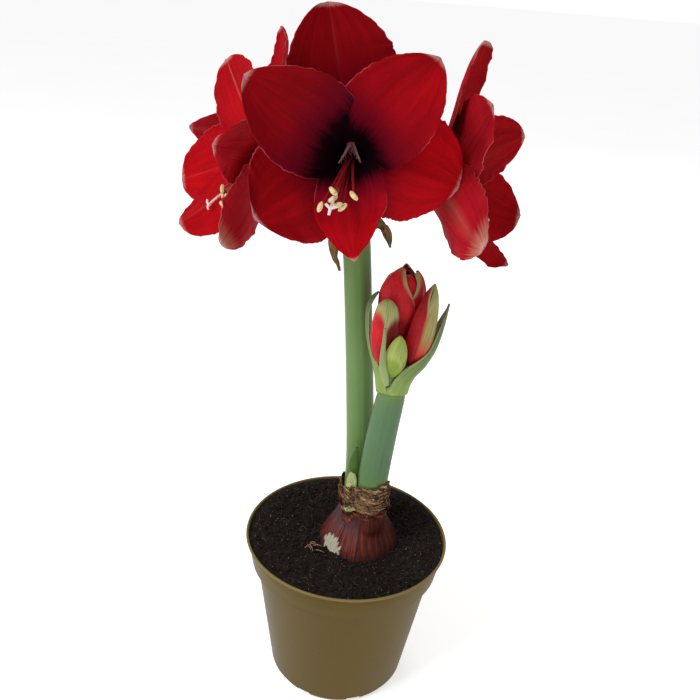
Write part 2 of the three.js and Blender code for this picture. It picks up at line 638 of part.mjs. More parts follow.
// ---------------------------------------------------------------- spathes, bracts, leaf
const BLADES = {
  spathe_right: {
    spine: [
      [32.6, -5.8, 244], [33.8, -5.6, 250], [36.4, -5.2, 256.5], [43.2, -4.6, 265.5], [48.4, -3.6, 277],
      [51.8, -2.8, 293], [53.6, -2.5, 309],
    ],
    halfWidths: [19.2, 19.6, 19.4, 17.4, 12, 9.4, 0.6], cup: [104, 100, 86, 72, 50, 42, 34],
    face: [-1, 0.05, 0.3], rows: 10, columns: 6, color: COLOURS.spathe,
  },
  spathe_left: {
    spine: [
      [11.6, -5.8, 244], [9.7, -5.4, 254.5], [8.2, -4.6, 261], [4.8, -2.8, 269.5], [1.8, -1.2, 280],
      [0.4, -0.4, 291], [0.2, -0.2, 300], [2.6, -0.4, 308], [7, -0.8, 313],
    ],
    halfWidths: [12, 12.6, 9.8, 5, 5.2, 5.8, 5.4, 4.4, 0.6], cup: [66, 60, 54, 42, 38, 38, 36, 34, 34],
    face: [1, 0.05, 0.3], rows: 10, columns: 4, color: COLOURS.spathe,
  },
  bracteole: {
    spine: [[17.4, -19, 254], [13.4, -22.8, 271], [12.7, -24, 297]], halfWidths: [1.6, 2.6, 2.3, 1.4, 0.6],
    cup: [20, 20], face: [0, 1, 0], rows: 6, columns: 2, color: COLOURS.spathe,
  },
  bract_left: {
    spine: [[-21.6, 15, 347], [-25, 10.6, 345.6], [-25, 7.4, 335], [-19.8, 6.4, 322.4]],
    halfWidths: [3.4, 5, 5.2, 4.4, 2.6, 0.6], cup: [60, 60, 50, 70], face: [0.5, 1, 0], turn: [0, -10, 20],
    rows: 7, columns: 4, color: COLOURS.bract,
  },
  bract_right: {
    spine: [[0, 17.2, 350.6], [6.4, 14.6, 354.6], [10.2, 12.8, 349], [12.4, 12.2, 339.4]],
    halfWidths: [3.8, 5.8, 5.8, 4.2, 0.6], cup: [60, 60, 50, 70], face: [-1, 0, -0.4], turn: [0, -30, -60],
    rows: 7, columns: 4, color: COLOURS.bract,
  },
  leaf_shoot: {
    spine: [[-1.2, 2.8, 150.2], [-0.2, 2.6, 170], [2.4, 2.4, 192]], halfWidths: [4.2, 4.6, 4.6, 3.4, 0.8],
    cup: [38, 30, 18], face: [0.5, 1, 0], rows: 6, columns: 4, color: COLOURS.leaf, thickness: 1.8,
  },
  bulb_scale: {
    spine: [[0.2, -1.2, 150.2], [0, -1.8, 161], [0.4, -2.6, 173.5]], halfWidths: [4.2, 4.6, 4.8, 4.4, 2.4],
    cup: [30, 26, 20], face: [0.6, 1, 0], rows: 4, columns: 4, color: COLOURS.scale,
  },
};
Object.entries(BLADES).forEach(([name, { color, ...shape }]) => addNode(name, blade(shape), color, 0.6));

// ---------------------------------------------------------------- bulb
// Radius of the bulb at each height: basal plate, body, shoulder, neck.
const BULB_PROFILE = [
  [50, 12], [56, 23], [66, 30.5], [78, 34], [90, 34.4], [100, 32.6], [108, 30.2], [115, 27.2],
  [122, 23.4], [129, 19.4], [136, 17], [143, 16], [149, 15.6],
];
// Height of the dry neck skin's top and bottom edges, from the right round to the back, the
// left and the front of the bulb.
const TUNIC_EDGES = { top: [160, 157, 160, 167], bottom: [140, 138, 142, 148], fray: 3.5 };

/** Distance from the bulb's axis to the far side of both scapes, in one direction. */
function neckReach(angle) {
  const [cx, cy] = BULB.centre;
  const reaches = [TALL_SCAPE[1], SHORT_SCAPE[1]].map(([x, y, , radius]) => {
    const sidestep = (x - cx) * Math.cos(angle) + (y - cy) * Math.sin(angle);
    const wall = radius + FIT_GAP + BULB.neckWall;
    const miss = (x - cx) ** 2 + (y - cy) ** 2 - sidestep ** 2;
    return miss < wall ** 2 ? sidestep + Math.sqrt(wall ** 2 - miss) : 0;
  });
  return Math.max(...reaches);
}

/** Outline of the bulb at a height: round, and drawn out at the neck to hold both scapes. */
function bulbRing(height, extra = 0, sides = BULB.sides, ridges = 0.012) {
  const heights = BULB_PROFILE.map(([z]) => z);
  const above = THREE.MathUtils.clamp(heights.findIndex((z) => z >= height), 1, heights.length - 1);
  const [[z0, r0], [z1, r1]] = [BULB_PROFILE[above - 1], BULB_PROFILE[above]];
  const body = THREE.MathUtils.lerp(r0, r1, clamp01((height - z0) / (z1 - z0)));
  return Array.from({ length: sides }, (_, k) => {
    const angle = (2 * Math.PI * k) / sides;
    const ridge = ridges * (Math.sin(5 * angle + height * 0.03) + 0.6 * Math.sin(11 * angle));
    const radius = Math.max(body * (1 + ridge), height > BULB.neckFrom ? neckReach(angle) : 0) + extra;
    const [cx, cy] = BULB.centre;
    return vec(cx + radius * Math.cos(angle), cy + radius * Math.sin(angle), height);
  });
}

function bulbBody(extra) {
  const rings = BULB_PROFILE.map(([height]) => bulbRing(height, extra));
  const [cx, cy] = BULB.centre;
  const [lowest, highest] = [BULB_PROFILE[0][0], BULB_PROFILE.at(-1)[0]];
  return loft(rings, vec(cx, cy, lowest - 2 - extra), vec(cx, cy, highest - 0.8));
}

const stemHoles = [TALL_SCAPE, SHORT_SCAPE].flatMap((stations) => {
  const [x, y, z, radius] = stations[0];
  const plug = new THREE.CylinderGeometry(radius + FIT_GAP, radius + FIT_GAP, 6, SCAPE_SIDES);
  plug.rotateX(Math.PI / 2);
  plug.translate(x, y, z);
  return [solidFrom(scape(stations, SCAPE_STEPS, FIT_GAP)), solidFrom(plug)];
});
const bulb = cutBy(solidFrom(bulbBody(0)), stemHoles);
addNode('bulb', geometryOf(outerBody(bulb)), COLOURS.bulb, 0.6);

/** The dry brown skin round the neck, frayed along its top and bottom edges. */
function neckTunic() {
  const random = randomStream(5);
  const sides = 24;
  const edge = (row) => Array.from({ length: sides }, (_, k) => {
    const place = (4 * k) / sides;
    const quarter = Math.floor(place);
    const height = THREE.MathUtils.lerp(row[quarter], row[(quarter + 1) % 4], place % 1);
    return height + TUNIC_EDGES.fray * (random() - 0.5);
  });
  const [top, bottom] = [edge(TUNIC_EDGES.top), edge(TUNIC_EDGES.bottom)];
  const ringAt = (share, extra) => Array.from({ length: sides }, (_, k) => {
    const height = THREE.MathUtils.lerp(bottom[k], top[k], share);
    return bulbRing(height, 1.1 + extra + 0.35 * Math.sin(3 * k), sides, 0)[k];
  });
  const levels = [0, 0.5, 1];
  return closedWall(
    levels.map((share) => ringAt(share, 0)),
    levels.map((share) => ringAt(share, BLADE_THICKNESS)),
  );
}

/** A closed wall between an inner and an outer stack of rings. */
function closedWall(inner, outer) {
  const sides = inner[0].length;
  const stack = [...outer, ...inner.slice().reverse()];
  const points = stack.flat();
  const triangles = [];
  stack.forEach((ring, row) => {
    const nextRow = (row + 1) % stack.length;
    for (let k = 0; k < sides; k += 1) {
      const next = (k + 1) % sides;
      const [low, high] = [row * sides, nextRow * sides];
      triangles.push([low + k, low + next, high + next], [low + k, high + next, high + k]);
    }
  });
  return geometryFrom(points, triangles);
}
addNode('bulb_tunic', neckTunic(), COLOURS.tunic, 0.8);

// ---------------------------------------------------------------- soil
/** Peat filling the pot: high round the rim, pressed down to a shallow dish at the bulb. */
function soilBody() {
  const random = randomStream(3);
  const wallAt = (z) => THREE.MathUtils.mapLinear(z, POT.floorTop, POT.collarStep - 1.5,
    POT.footRadius + 2.7 - POT.wall, POT.rimRadius - 8.8 - POT.wall) - FIT_GAP - 0.15;
  const collarAt = (z) => THREE.MathUtils.mapLinear(z, POT.collarStep + 0.5, POT.height,
    POT.rimRadius - 6.3, POT.rimRadius - POT.rimWidth) - FIT_GAP - 0.35;
  const ring = (radius, heightAt) => Array.from({ length: SOIL.sectors }, (_, k) => {
    const angle = (2 * Math.PI * k) / SOIL.sectors;
    return vec(radius * Math.cos(angle), radius * Math.sin(angle), heightAt(k));
  });
  const lump = () => SOIL.lumpHeight * (random() - 0.5);
  const bottom = POT.floorTop + FIT_GAP;
  const rings = [
    ring(wallAt(bottom), () => bottom),
    ring(wallAt(POT.collarStep - 3), () => POT.collarStep - 3),
    ring(wallAt(POT.collarStep - 3) + 1.6, () => POT.collarStep + 4),
    ring(collarAt(SOIL.edgeLevel - 1), () => SOIL.edgeLevel - 1 + 0.4 * lump()),
  ];
  for (const radius of [66, 57, 48, 40, 24, 10]) {
    const rise = (SOIL.edgeLevel - SOIL.level) * smooth((radius - 36) / 32);
    rings.push(ring(radius, () => SOIL.level + rise + lump()));
  }
  return loft(rings, vec(0, 0, bottom), vec(0, 0, SOIL.level));
}
const soil = solidFrom(soilBody()).subtract(solidFrom(bulbBody(FIT_GAP)));
addNode('soil', geometryOf(outerBody(soil)), COLOURS.soil, 0.95);

export default amaryllis;
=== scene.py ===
import math
import random
from collections import namedtuple

import bpy
from mathutils import Matrix, Vector, noise


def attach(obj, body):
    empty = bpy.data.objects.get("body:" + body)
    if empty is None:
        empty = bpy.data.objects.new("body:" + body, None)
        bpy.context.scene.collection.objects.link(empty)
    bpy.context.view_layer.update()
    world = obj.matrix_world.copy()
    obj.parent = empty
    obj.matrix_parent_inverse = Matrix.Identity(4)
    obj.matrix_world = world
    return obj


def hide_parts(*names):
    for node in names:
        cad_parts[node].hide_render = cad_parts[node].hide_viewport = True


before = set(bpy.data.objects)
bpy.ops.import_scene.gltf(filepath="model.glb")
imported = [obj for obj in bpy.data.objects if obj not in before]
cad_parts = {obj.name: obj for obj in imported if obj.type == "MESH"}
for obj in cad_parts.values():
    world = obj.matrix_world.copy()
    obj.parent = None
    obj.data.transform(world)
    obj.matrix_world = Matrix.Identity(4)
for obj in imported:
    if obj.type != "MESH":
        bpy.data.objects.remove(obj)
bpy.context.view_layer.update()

MM = 0.001
scene = bpy.context.scene


# ---------------------------------------------------------------- studio
# A pale light table under soft light from large panels, the strongest on the left, and a
# camera that looks down on the plant from chest height, leaning a little to one side.
CAMERA_PLACE = Vector((-8.6, -492.9, 491.8)) * MM
CAMERA_DOWN = math.radians(24.3)
CAMERA_LEAN = math.radians(4.7)
LENS, SENSOR = 41.14, 36
PANELS = dict(                 # each light panel's place, width and power
    key=((-1.25, -0.95, 1.6), 0.9, 23),
    fill=((1.4, -0.9, 1.0), 1.4, 2),
    back=((-0.3, 1.5, 1.4), 1.2, 6),
)
PANEL_AIM = Vector((0, 0, 0.28))
FLOOR_HALF = 60.0
FLOOR_GLOW = 0.58
AIR_LIGHT = 0.39               # strength of the light that the white room gives
AIR_SEEN = 1.0                 # brightness of the room itself
WHITE = (1, 1, 1, 1)
Pattern = namedtuple("Pattern", "mask height")


def put(tree, kind, inputs=(), **settings):
    """Adds a node. Its inputs are given by name or number, as values or other nodes' outputs."""
    made = tree.nodes.new(kind)
    for name, value in settings.items():
        setattr(made, name, value)
    for key, value in dict(inputs).items():
        if isinstance(value, bpy.types.NodeSocket):
            tree.links.new(value, made.inputs[key])
        else:
            made.inputs[key].default_value = value
    return made


def maths(tree, operation, *values):
    return put(tree, "ShaderNodeMath", enumerate(values), operation=operation).outputs[0]


def times(tree, first, second):
    return maths(tree, "MULTIPLY", first, second)


def times_plus(tree, first, second, third):
    return maths(tree, "MULTIPLY_ADD", first, second, third)


def ease(tree, value, low, high):
    """0 below low, 1 above high and a smooth rise between; low may be the higher one."""
    inputs = {"Value": value, "From Min": low, "From Max": high}
    return put(tree, "ShaderNodeMapRange", inputs, interpolation_type="SMOOTHSTEP").outputs[0]


def blend(tree, share, first, second):
    """The first colour where the share is 0, the second where it is 1."""
    inputs = {0: share}
    for key, paint in ((6, first), (7, second)):
        inputs[key] = paint if isinstance(paint, bpy.types.NodeSocket) else (*paint, 1)
    return put(tree, "ShaderNodeMix", inputs, data_type="RGBA").outputs[2]


def tint(tree, colour, paint, mask, strength):
    """The colour with a paint over it, as strong as given where the mask is 1."""
    return blend(tree, times(tree, mask, strength), colour, paint)


def value_at(tree, name):
    return put(tree, "ShaderNodeAttribute", attribute_name=name).outputs["Fac"]


def spot_on(tree):
    """X, y and z in the piece's own coordinates, in metres."""
    spot = put(tree, "ShaderNodeTexCoord").outputs["Object"]
    return put(tree, "ShaderNodeSeparateXYZ", {0: spot}).outputs


def new_material(name, roughness, **constants):
    """A material with its tree and its Principled shader, whose constants are set here."""
    material = bpy.data.materials.new(name)
    material.use_nodes = True
    shader = material.node_tree.nodes["Principled BSDF"]
    shader.inputs["Roughness"].default_value = roughness
    for socket, value in constants.items():
        shader.inputs[socket.replace("_", " ")].default_value = value
    return material, material.node_tree, shader


def dress(tree, shader, colour, rough=None):
    """Gives the shader its colour and, where it changes over the surface, its roughness."""
    tree.links.new(colour, shader.inputs["Base Color"])
    if rough is not None:
        tree.links.new(rough, shader.inputs["Roughness"])


def bump(tree, shader, height, distance, strength=1.0):
    inputs = {"Height": height, "Distance": distance * MM, "Strength": strength}
    tree.links.new(put(tree, "ShaderNodeBump", inputs).outputs[0], shader.inputs["Normal"])


def pattern_group(name, inputs):
    """A shader node group of numbers that gives a mask and a height, with its two end nodes."""
    group = bpy.data.node_groups.new(name, "ShaderNodeTree")
    for label, value in inputs.items():
        socket = group.interface.new_socket(label, in_out="INPUT", socket_type="NodeSocketFloat")
        socket.default_value = value
    for label in ("Mask", "Height"):
        group.interface.new_socket(label, in_out="OUTPUT", socket_type="NodeSocketFloat")
    return group, group.nodes.new("NodeGroupInput"), group.nodes.new("NodeGroupOutput")


def end_pattern(group, leave, height, softness):
    """Puts out the pattern's height and a mask that turns from 0 to 1 round its middle."""
    low = maths(group, "SUBTRACT", 0.5, softness)
    high = maths(group, "ADD", 0.5, softness)
    group.links.new(ease(group, height, low, high), leave.inputs["Mask"])
    group.links.new(height, leave.inputs["Height"])


def use_pattern(tree, group, **inputs):
    made = put(tree, "ShaderNodeGroup", inputs, node_tree=group)
    return Pattern(made.outputs["Mask"], made.outputs["Height"])


def mottling_group():
    """Soft blotches and fine grain in the piece's own coordinates, longer than wide."""
    defaults = {"Scale": 60.0, "Length": 1.0, "Detail": 4.0, "Edge": 0.25, "Offset": 0.0}
    group, entry, leave = pattern_group("mottling", defaults)
    place = put(group, "ShaderNodeTexCoord").outputs["Object"]
    shrink = maths(group, "DIVIDE", 1.0, entry.outputs["Length"])
    factors = put(group, "ShaderNodeCombineXYZ", {0: 1.0, 1: 1.0, 2: shrink}).outputs[0]
    shaped = put(group, "ShaderNodeVectorMath", {0: place, 1: factors}, operation="MULTIPLY").outputs[0]
    apart = put(group, "ShaderNodeCombineXYZ", {0: entry.outputs["Offset"]}).outputs[0]
    moved = put(group, "ShaderNodeVectorMath", {0: shaped, 1: apart}, operation="ADD").outputs[0]
    inputs = {"Vector": moved, "Scale": entry.outputs["Scale"], "Detail": entry.outputs["Detail"]}
    cloud = put(group, "ShaderNodeTexNoise", inputs).outputs[0]
    end_pattern(group, leave, cloud, entry.outputs["Edge"])
    return group


MOTTLING = mottling_group()


def mottle(tree, scale, length=1.0, edge=0.25, offset=0.0, detail=4.0):
    return use_pattern(tree, MOTTLING, Scale=scale, Length=length, Edge=edge, Offset=offset, Detail=detail)


def studio_floor():
    material, tree, shader = new_material(
        "studio_floor", 0.9, Specular_IOR_Level=0.0, Emission_Strength=FLOOR_GLOW, Emission_Color=WHITE,
    )
    dress(tree, shader, blend(tree, mottle(tree, 3.0).mask, (0.92, 0.92, 0.92), (0.95, 0.95, 0.95)))
    mesh = bpy.data.meshes.new("studio_floor")
    corners = [(x * FLOOR_HALF, y * FLOOR_HALF, 0) for x, y in ((-1, -1), (1, -1), (1, 1), (-1, 1))]
    mesh.from_pydata(corners, [], [(0, 1, 2, 3)])
    mesh.materials.append(material)
    floor = bpy.data.objects.new("studio_floor", mesh)
    scene.collection.objects.link(floor)


def soft_panels():
    for name, (place, width, power) in PANELS.items():
        light = bpy.data.lights.new(f"{name}_panel", "AREA")
        light.size = width
        light.energy = power
        lamp = bpy.data.objects.new(f"{name}_panel", light)
        lamp.location = place
        lamp.rotation_euler = (Vector(place) - PANEL_AIM).to_track_quat("Z", "Y").to_euler()
        scene.collection.objects.link(lamp)


def studio_air():
    """The white room: it looks brighter than the light that it gives."""
    scene.world = bpy.data.worlds.new("studio_air")
    scene.world.use_nodes = True
    tree = scene.world.node_tree
    seen = put(tree, "ShaderNodeLightPath").outputs["Is Camera Ray"]
    strength = times_plus(tree, seen, AIR_SEEN - AIR_LIGHT, AIR_LIGHT)
    tree.links.new(strength, tree.nodes["Background"].inputs["Strength"])
    tree.nodes["Background"].inputs["Color"].default_value = WHITE


def plant_camera():
    sine, cosine = math.sin(CAMERA_LEAN), math.cos(CAMERA_LEAN)
    right = Vector((1, 0, 0))
    down = Vector((0, -math.sin(CAMERA_DOWN), -math.cos(CAMERA_DOWN)))
    ahead = Vector((0, math.cos(CAMERA_DOWN), -math.sin(CAMERA_DOWN)))
    axes = (cosine * right - sine * down, -(sine * right + cosine * down), -ahead)
    lens = bpy.data.cameras.new("plant_camera")
    lens.sensor_width = SENSOR
    lens.lens = LENS
    camera = bpy.data.objects.new("plant_camera", lens)
    camera.matrix_world = Matrix.Translation(CAMERA_PLACE) @ Matrix(axes).transposed().to_4x4()
    scene.collection.objects.link(camera)
    scene.camera = camera


plant_camera()
studio_floor()
soft_panels()
studio_air()
scene.view_settings.view_transform = "Standard"


# ---------------------------------------------------------------- pot
# A tapered nursery pot of injection-moulded polypropylene, khaki with a faint metallic sheen.
# It has a deep collar under a rolled rim, notches in its foot and drain holes in its floor.
POT = dict(
    rim=75.0, top=120.0, step=98.5, foot=49.2, wall=1.3, floor_top=6.0, floor_under=3.5,
    ring_inner=46.0, pad=9.0, rim_width=1.6, sides=160,
    notches=8, notch_width=11.0, notch_height=4.6, first_notch=18,
    holes=4, hole_radius=4.0, hole_circle=0.55, first_hole=45,
)
SHARP_EDGE = math.radians(38)


def grow(name, solid, material, edges=()):
    """A smooth mesh piece from a solid: its points in millimetres, its faces and, if it has
    them, named values at its points."""
    points, faces, values = (*solid, {})[:3]
    mesh = bpy.data.meshes.new(name)
    mesh.from_pydata([Vector(point) * MM for point in points], list(edges), faces)
    mesh.shade_smooth()
    for key, numbers in values.items():
        mesh.attributes.new(key, "FLOAT", "POINT").data.foreach_set("value", numbers)
    mesh.materials.append(material)
    piece = bpy.data.objects.new(name, mesh)
    scene.collection.objects.link(piece)
    return piece


def settle(piece, slot, node):
    """The piece stands for a CAD node, which it hides, and moves with the plant. Its slot is not used."""
    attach(piece, "root")
    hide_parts(node)


def plain_mesh(piece):
    """The piece with its modifiers worked into a plain mesh."""
    depsgraph = bpy.context.evaluated_depsgraph_get()
    mesh = bpy.data.meshes.new_from_object(piece.evaluated_get(depsgraph))
    piece.modifiers.clear()
    piece.data = mesh
    return piece


def ring(centre, radius, z, sides):
    """Points of a level circle."""
    spots = [2 * math.pi * k / sides for k in range(sides)]
    return [(centre[0] + radius * math.cos(a), centre[1] + radius * math.sin(a), z) for a in spots]


def loft_faces(rows, sides, closed=False):
    """Quads between rings of equal length; closed joins the last ring to the first."""
    faces = []
    for row in range(rows if closed else rows - 1):
        low, high = row * sides, (row + 1) % rows * sides
        for k in range(sides):
            after = (k + 1) % sides
            faces.append((low + k, low + after, high + after, high + k))
    return faces


def loft(rings, start, end):
    """Points and faces of a closed body through rings, with a point at each end."""
    sides, rows = len(rings[0]), len(rings)
    points = [point for one in rings for point in one] + [start, end]
    faces = loft_faces(rows, sides)
    first, last, top = len(points) - 2, len(points) - 1, (rows - 1) * sides
    for k in range(sides):
        after = (k + 1) % sides
        faces += [(first, after, k), (last, top + k, top + after)]
    return points, faces


def pot_material():
    material, tree, shader = new_material("khaki_plastic", 0.4, Specular_IOR_Level=0.07)
    cloudy = mottle(tree, 14.0, 2.5)
    grain = mottle(tree, 900.0, detail=2.0)
    colour = blend(tree, cloudy.mask, (0.085, 0.051, 0.004), (0.107, 0.066, 0.006))
    colour = tint(tree, colour, (0.15, 0.1, 0.018), grain.mask, 0.25)
    # Painted highlight: the top of the rolled rim is painted lighter, where the light catches it.
    rim = ease(tree, spot_on(tree)[2], (POT["top"] - 2.2) * MM, (POT["top"] - 0.6) * MM)
    colour = tint(tree, colour, (0.36, 0.28, 0.12), rim, 0.5)
    smear = ease(tree, mottle(tree, 26.0, 3.0, offset=2.0).height, 0.56, 0.72)
    colour = tint(tree, colour, (0.11, 0.075, 0.034), smear, 0.22)
    dress(tree, shader, colour, times_plus(tree, cloudy.height, 0.2, 0.32))
    bump(tree, shader, grain.height, 0.06, 0.5)
    return material


def pot_solid():
    """The pot before it is cut: from its pad over the foot, outside and rim to its floor."""
    rim, top, step, foot, wall = (POT[key] for key in ("rim", "top", "step", "foot", "wall"))
    profile = [
        (POT["pad"], 0), (POT["pad"] + 1, POT["floor_under"]), (POT["ring_inner"], POT["floor_under"]),
        (POT["ring_inner"], 0.3), (POT["ring_inner"] + 0.3, 0), (foot - 0.3, 0), (foot, 0.3),
        (foot + 2.7, 4.7), (rim - 8.8, step - 0.9), (rim - 8.5, step - 0.5), (rim - 5.5, step - 0.2),
        (rim - 5, step + 0.3), (rim - 1.8, top - 2.4), (rim - 0.5, top - 2.1), (rim, top - 1.2),
        (rim - 0.2, top - 0.4), (rim - 0.8, top), (rim - POT["rim_width"], top - 0.4),
        (rim - 6.3, step + 0.5), (rim - 8.8 - wall, step - 1.5), (foot + 2.7 - wall, POT["floor_top"]),
    ]
    rings = [ring((0, 0), radius, z, POT["sides"]) for radius, z in profile]
    return loft(rings, (0, 0, 0), (0, 0, POT["floor_top"]))


def cutter_at(first, share, spot, size=(1, 1, 1)):
    """Sizes the newest object and stands it at its share of the way round the pot."""
    cutter = bpy.context.object
    spin = Matrix.Rotation(math.radians(first + 360 * share), 4, "Z")
    place = Matrix.Translation([part * MM for part in spot])
    cutter.data.transform(spin @ place @ Matrix.Diagonal((*size, 1)))
    return cutter


def make_pot():
    pot = grow("nursery_pot", pot_solid(), pot_material())
    cutters = []
    notch_size = Vector((20, POT["notch_width"], 2 * POT["notch_height"])) * MM
    for k in range(POT["notches"]):
        bpy.ops.mesh.primitive_cube_add(size=1)
        cutters.append(cutter_at(POT["first_notch"], k / POT["notches"], (POT["foot"], 0, 0), notch_size))
    hole_spot = (POT["foot"] * POT["hole_circle"], 0, POT["floor_top"] - 1)
    for k in range(POT["holes"]):
        bpy.ops.mesh.primitive_cylinder_add(vertices=32, radius=POT["hole_radius"] * MM, depth=12 * MM)
        cutters.append(cutter_at(POT["first_hole"], k / POT["holes"], hole_spot))
    for cutter in cutters:
        cutting = pot.modifiers.new("cut", "BOOLEAN")
        cutting.operation = "DIFFERENCE"
        cutting.object = cutter
        cutting.solver = "EXACT"
    plain_mesh(pot)
    for cutter in cutters:
        bpy.data.objects.remove(cutter)
    pot.data.shade_smooth()
    pot.data.set_sharp_from_angle(angle=SHARP_EDGE)
    settle(pot, "pot_plastic", "pot")


make_pot()


# ---------------------------------------------------------------- peat
# Dark moist peat fills the pot nearly to its rim and dips to a shallow dish at the bulb.
# Crumbs, bark bits and hair-thin fibres lie loose on it, as it was tipped in and pressed.
PEAT = dict(
    edge=117.0, level=111.0, heap=2.3, hollow=2.4, lumps=1.5, wall_gap=2.5, floor_gap=0.35,
    rings=120, bare_rings=6, sectors=260,
)
CRUMBS, SMALLEST_CRUMB, LARGEST_CRUMB = 9000, 0.25, 1.9
FIBRES, FIBRE_RADIUS, FIBRE_STEPS = 150, 0.09, 4
ROOTS, ROOT_STEPS = 9, 5
FULL_TURN = 6.283
BULB_CENTRE = (9.8, 11.0)


def smooth(x):
    x = min(max(x, 0.0), 1.0)
    return x * x * (3 - 2 * x)


def lerp(first, second, share):
    return first + (second - first) * share


def peat_height(x, y):
    """Height of the peat: nearly level, higher at the wall, heaped at the back, low at the bulb."""
    distance = math.hypot(x, y)
    level = lerp(PEAT["level"], PEAT["edge"], smooth((distance - 36) / 32))
    level += PEAT["heap"] * smooth((distance - 58) / 13) * smooth(y / 45)
    level -= PEAT["hollow"] * smooth((42 - math.hypot(x - BULB_CENTRE[0], y - BULB_CENTRE[1])) / 10)
    coarse = noise.noise(Vector((x, y, 0)) / 9)
    middle = noise.noise(Vector((x, y, 40)) / 3.6)
    fine = noise.noise(Vector((x, y, 80)) / 1.5)
    return level + PEAT["lumps"] * (0.9 * coarse + 0.55 * middle + 0.3 * fine) - 0.6


def peat_material():
    material, tree, shader = new_material("moist_peat", 0.95, Specular_IOR_Level=0.2)
    clods = mottle(tree, 160.0, edge=0.2)
    crumbs = mottle(tree, 620.0, edge=0.15, offset=3.0)
    colour = blend(tree, clods.mask, (0.0035, 0.0025, 0.0022), (0.012, 0.008, 0.0064))
    colour = tint(tree, colour, (0.026, 0.017, 0.012), crumbs.mask, 0.5)
    pale = ease(tree, mottle(tree, 700.0, offset=7.0).height, 0.66, 0.71)
    colour = tint(tree, colour, (0.3, 0.25, 0.2), pale, 0.8)
    dress(tree, shader, colour, times_plus(tree, clods.height, 0.3, 0.72))
    bump(tree, shader, crumbs.height, 0.5)
    return material


def geometry_tree(name, inputs):
    """A Geometry Nodes tree with a geometry input and output and named number inputs."""
    tree = bpy.data.node_groups.new(name, "GeometryNodeTree")
    tree.interface.new_socket("Geometry", in_out="INPUT", socket_type="NodeSocketGeometry")
    tree.interface.new_socket("Geometry", in_out="OUTPUT", socket_type="NodeSocketGeometry")
    kinds = {float: "NodeSocketFloat", int: "NodeSocketInt"}
    for label, value in inputs.items():
        socket = tree.interface.new_socket(label, in_out="INPUT", socket_type=kinds[type(value)])
        socket.default_value = value
    return tree, tree.nodes.new("NodeGroupInput"), tree.nodes.new("NodeGroupOutput")


def worked_by(piece, tree, **values):
    """The piece as a tree makes it, with the tree's inputs set, as a plain mesh."""
    work = piece.modifiers.new(tree.name, "NODES")
    work.node_group = tree
    for item in tree.interface.items_tree:
        if item.in_out == "INPUT" and item.name in values:
            work[item.identifier] = values[item.name]
    return plain_mesh(piece)


def finish_tree(tree, leave, geometry, material, flat=False):
    """Ends a tree: instances made real, shading and the material set."""
    real = put(tree, "GeometryNodeRealizeInstances", {0: geometry}).outputs[0]
    shaded = put(tree, "GeometryNodeSetShadeSmooth", {0: real, "Shade Smooth": not flat}).outputs[0]
    painted = put(tree, "GeometryNodeSetMaterial", {0: shaded, "Material": material}).outputs[0]
    tree.links.new(painted, leave.inputs[0])


def random_number(tree, low, high, seed):
    inputs = {2: low, 3: high, "Seed": seed}
    return put(tree, "FunctionNodeRandomValue", inputs, data_type="FLOAT").outputs[1]


def random_vector(tree, low, high, seed):
    inputs = {0: low, 1: high, "Seed": seed}
    return put(tree, "FunctionNodeRandomValue", inputs, data_type="FLOAT_VECTOR").outputs[0]


def crumb_tree(material):
    """Scatters faceted crumbs of mixed sizes over a surface."""
    tree, entry, leave = geometry_tree("peat_crumbs", {"Density": 1.0, "Smallest": 0.1, "Largest": 1.0})
    spots = put(tree, "GeometryNodeDistributePointsOnFaces", {
        "Mesh": entry.outputs[0], "Density": entry.outputs["Density"], "Seed": 4,
    }).outputs[0]
    crumb = put(tree, "GeometryNodeMeshIcoSphere", {"Radius": 1.0, "Subdivisions": 1}).outputs[0]
    size = random_number(tree, 0.0, 1.0, 5)
    size = maths(tree, "POWER", size, 4.0)
    spread = maths(tree, "SUBTRACT", entry.outputs["Largest"], entry.outputs["Smallest"])
    size = times_plus(tree, size, spread, entry.outputs["Smallest"])
    shape = random_vector(tree, (0.6, 0.5, 0.4), (1.5, 1.1, 0.9), 6)
    scaled = put(tree, "ShaderNodeVectorMath", {0: shape, 3: size}, operation="SCALE").outputs[0]
    turned = random_vector(tree, (0, 0, 0), (FULL_TURN,) * 3, 7)
    crumbs = put(tree, "GeometryNodeInstanceOnPoints", {
        "Points": spots, "Instance": crumb, "Scale": scaled,
        "Rotation": put(tree, "FunctionNodeEulerToRotation", {0: turned}).outputs[0],
    }).outputs[0]
    finish_tree(tree, leave, crumbs, material, flat=True)
    return tree


def strand_tree(name, material):
    """Tubes along a mesh's edges, as thick as each point's "thick" value says."""
    tree, entry, leave = geometry_tree(name, {"Sides": 6})
    paths = put(tree, "GeometryNodeMeshToCurve", {0: entry.outputs[0]}).outputs[0]
    thick = put(tree, "GeometryNodeInputNamedAttribute", {"Name": "thick"}, data_type="FLOAT").outputs[0]
    circle = {"Resolution": entry.outputs["Sides"], "Radius": 1.0}
    outline = put(tree, "GeometryNodeCurvePrimitiveCircle", circle).outputs[0]
    tubes = put(tree, "GeometryNodeCurveToMesh", {
        "Curve": paths, "Profile Curve": outline, "Scale": thick, "Fill Caps": True,
    }).outputs[0]
    finish_tree(tree, leave, tubes, material)
    return tree


def strands(name, paths, material, sides=6, values=None):
    """Tubes along paths of (point, radius) in millimetres."""
    points = [point for path in paths for point, _ in path]
    thick = [radius * MM for path in paths for _, radius in path]
    edges = []
    start = 0
    for path in paths:
        edges += [(start + i, start + i + 1) for i in range(len(path) - 1)]
        start += len(path)
    piece = grow(name, (points, [], {"thick": thick, **(values or {})}), material, edges)
    return worked_by(piece, strand_tree(name, material), Sides=sides)


def two_tone_material(name, roughness, scale, first, second):
    """A dull surface in blotches of two colours."""
    material, tree, shader = new_material(name, roughness)
    dress(tree, shader, blend(tree, mottle(tree, scale).mask, first, second))
    return material


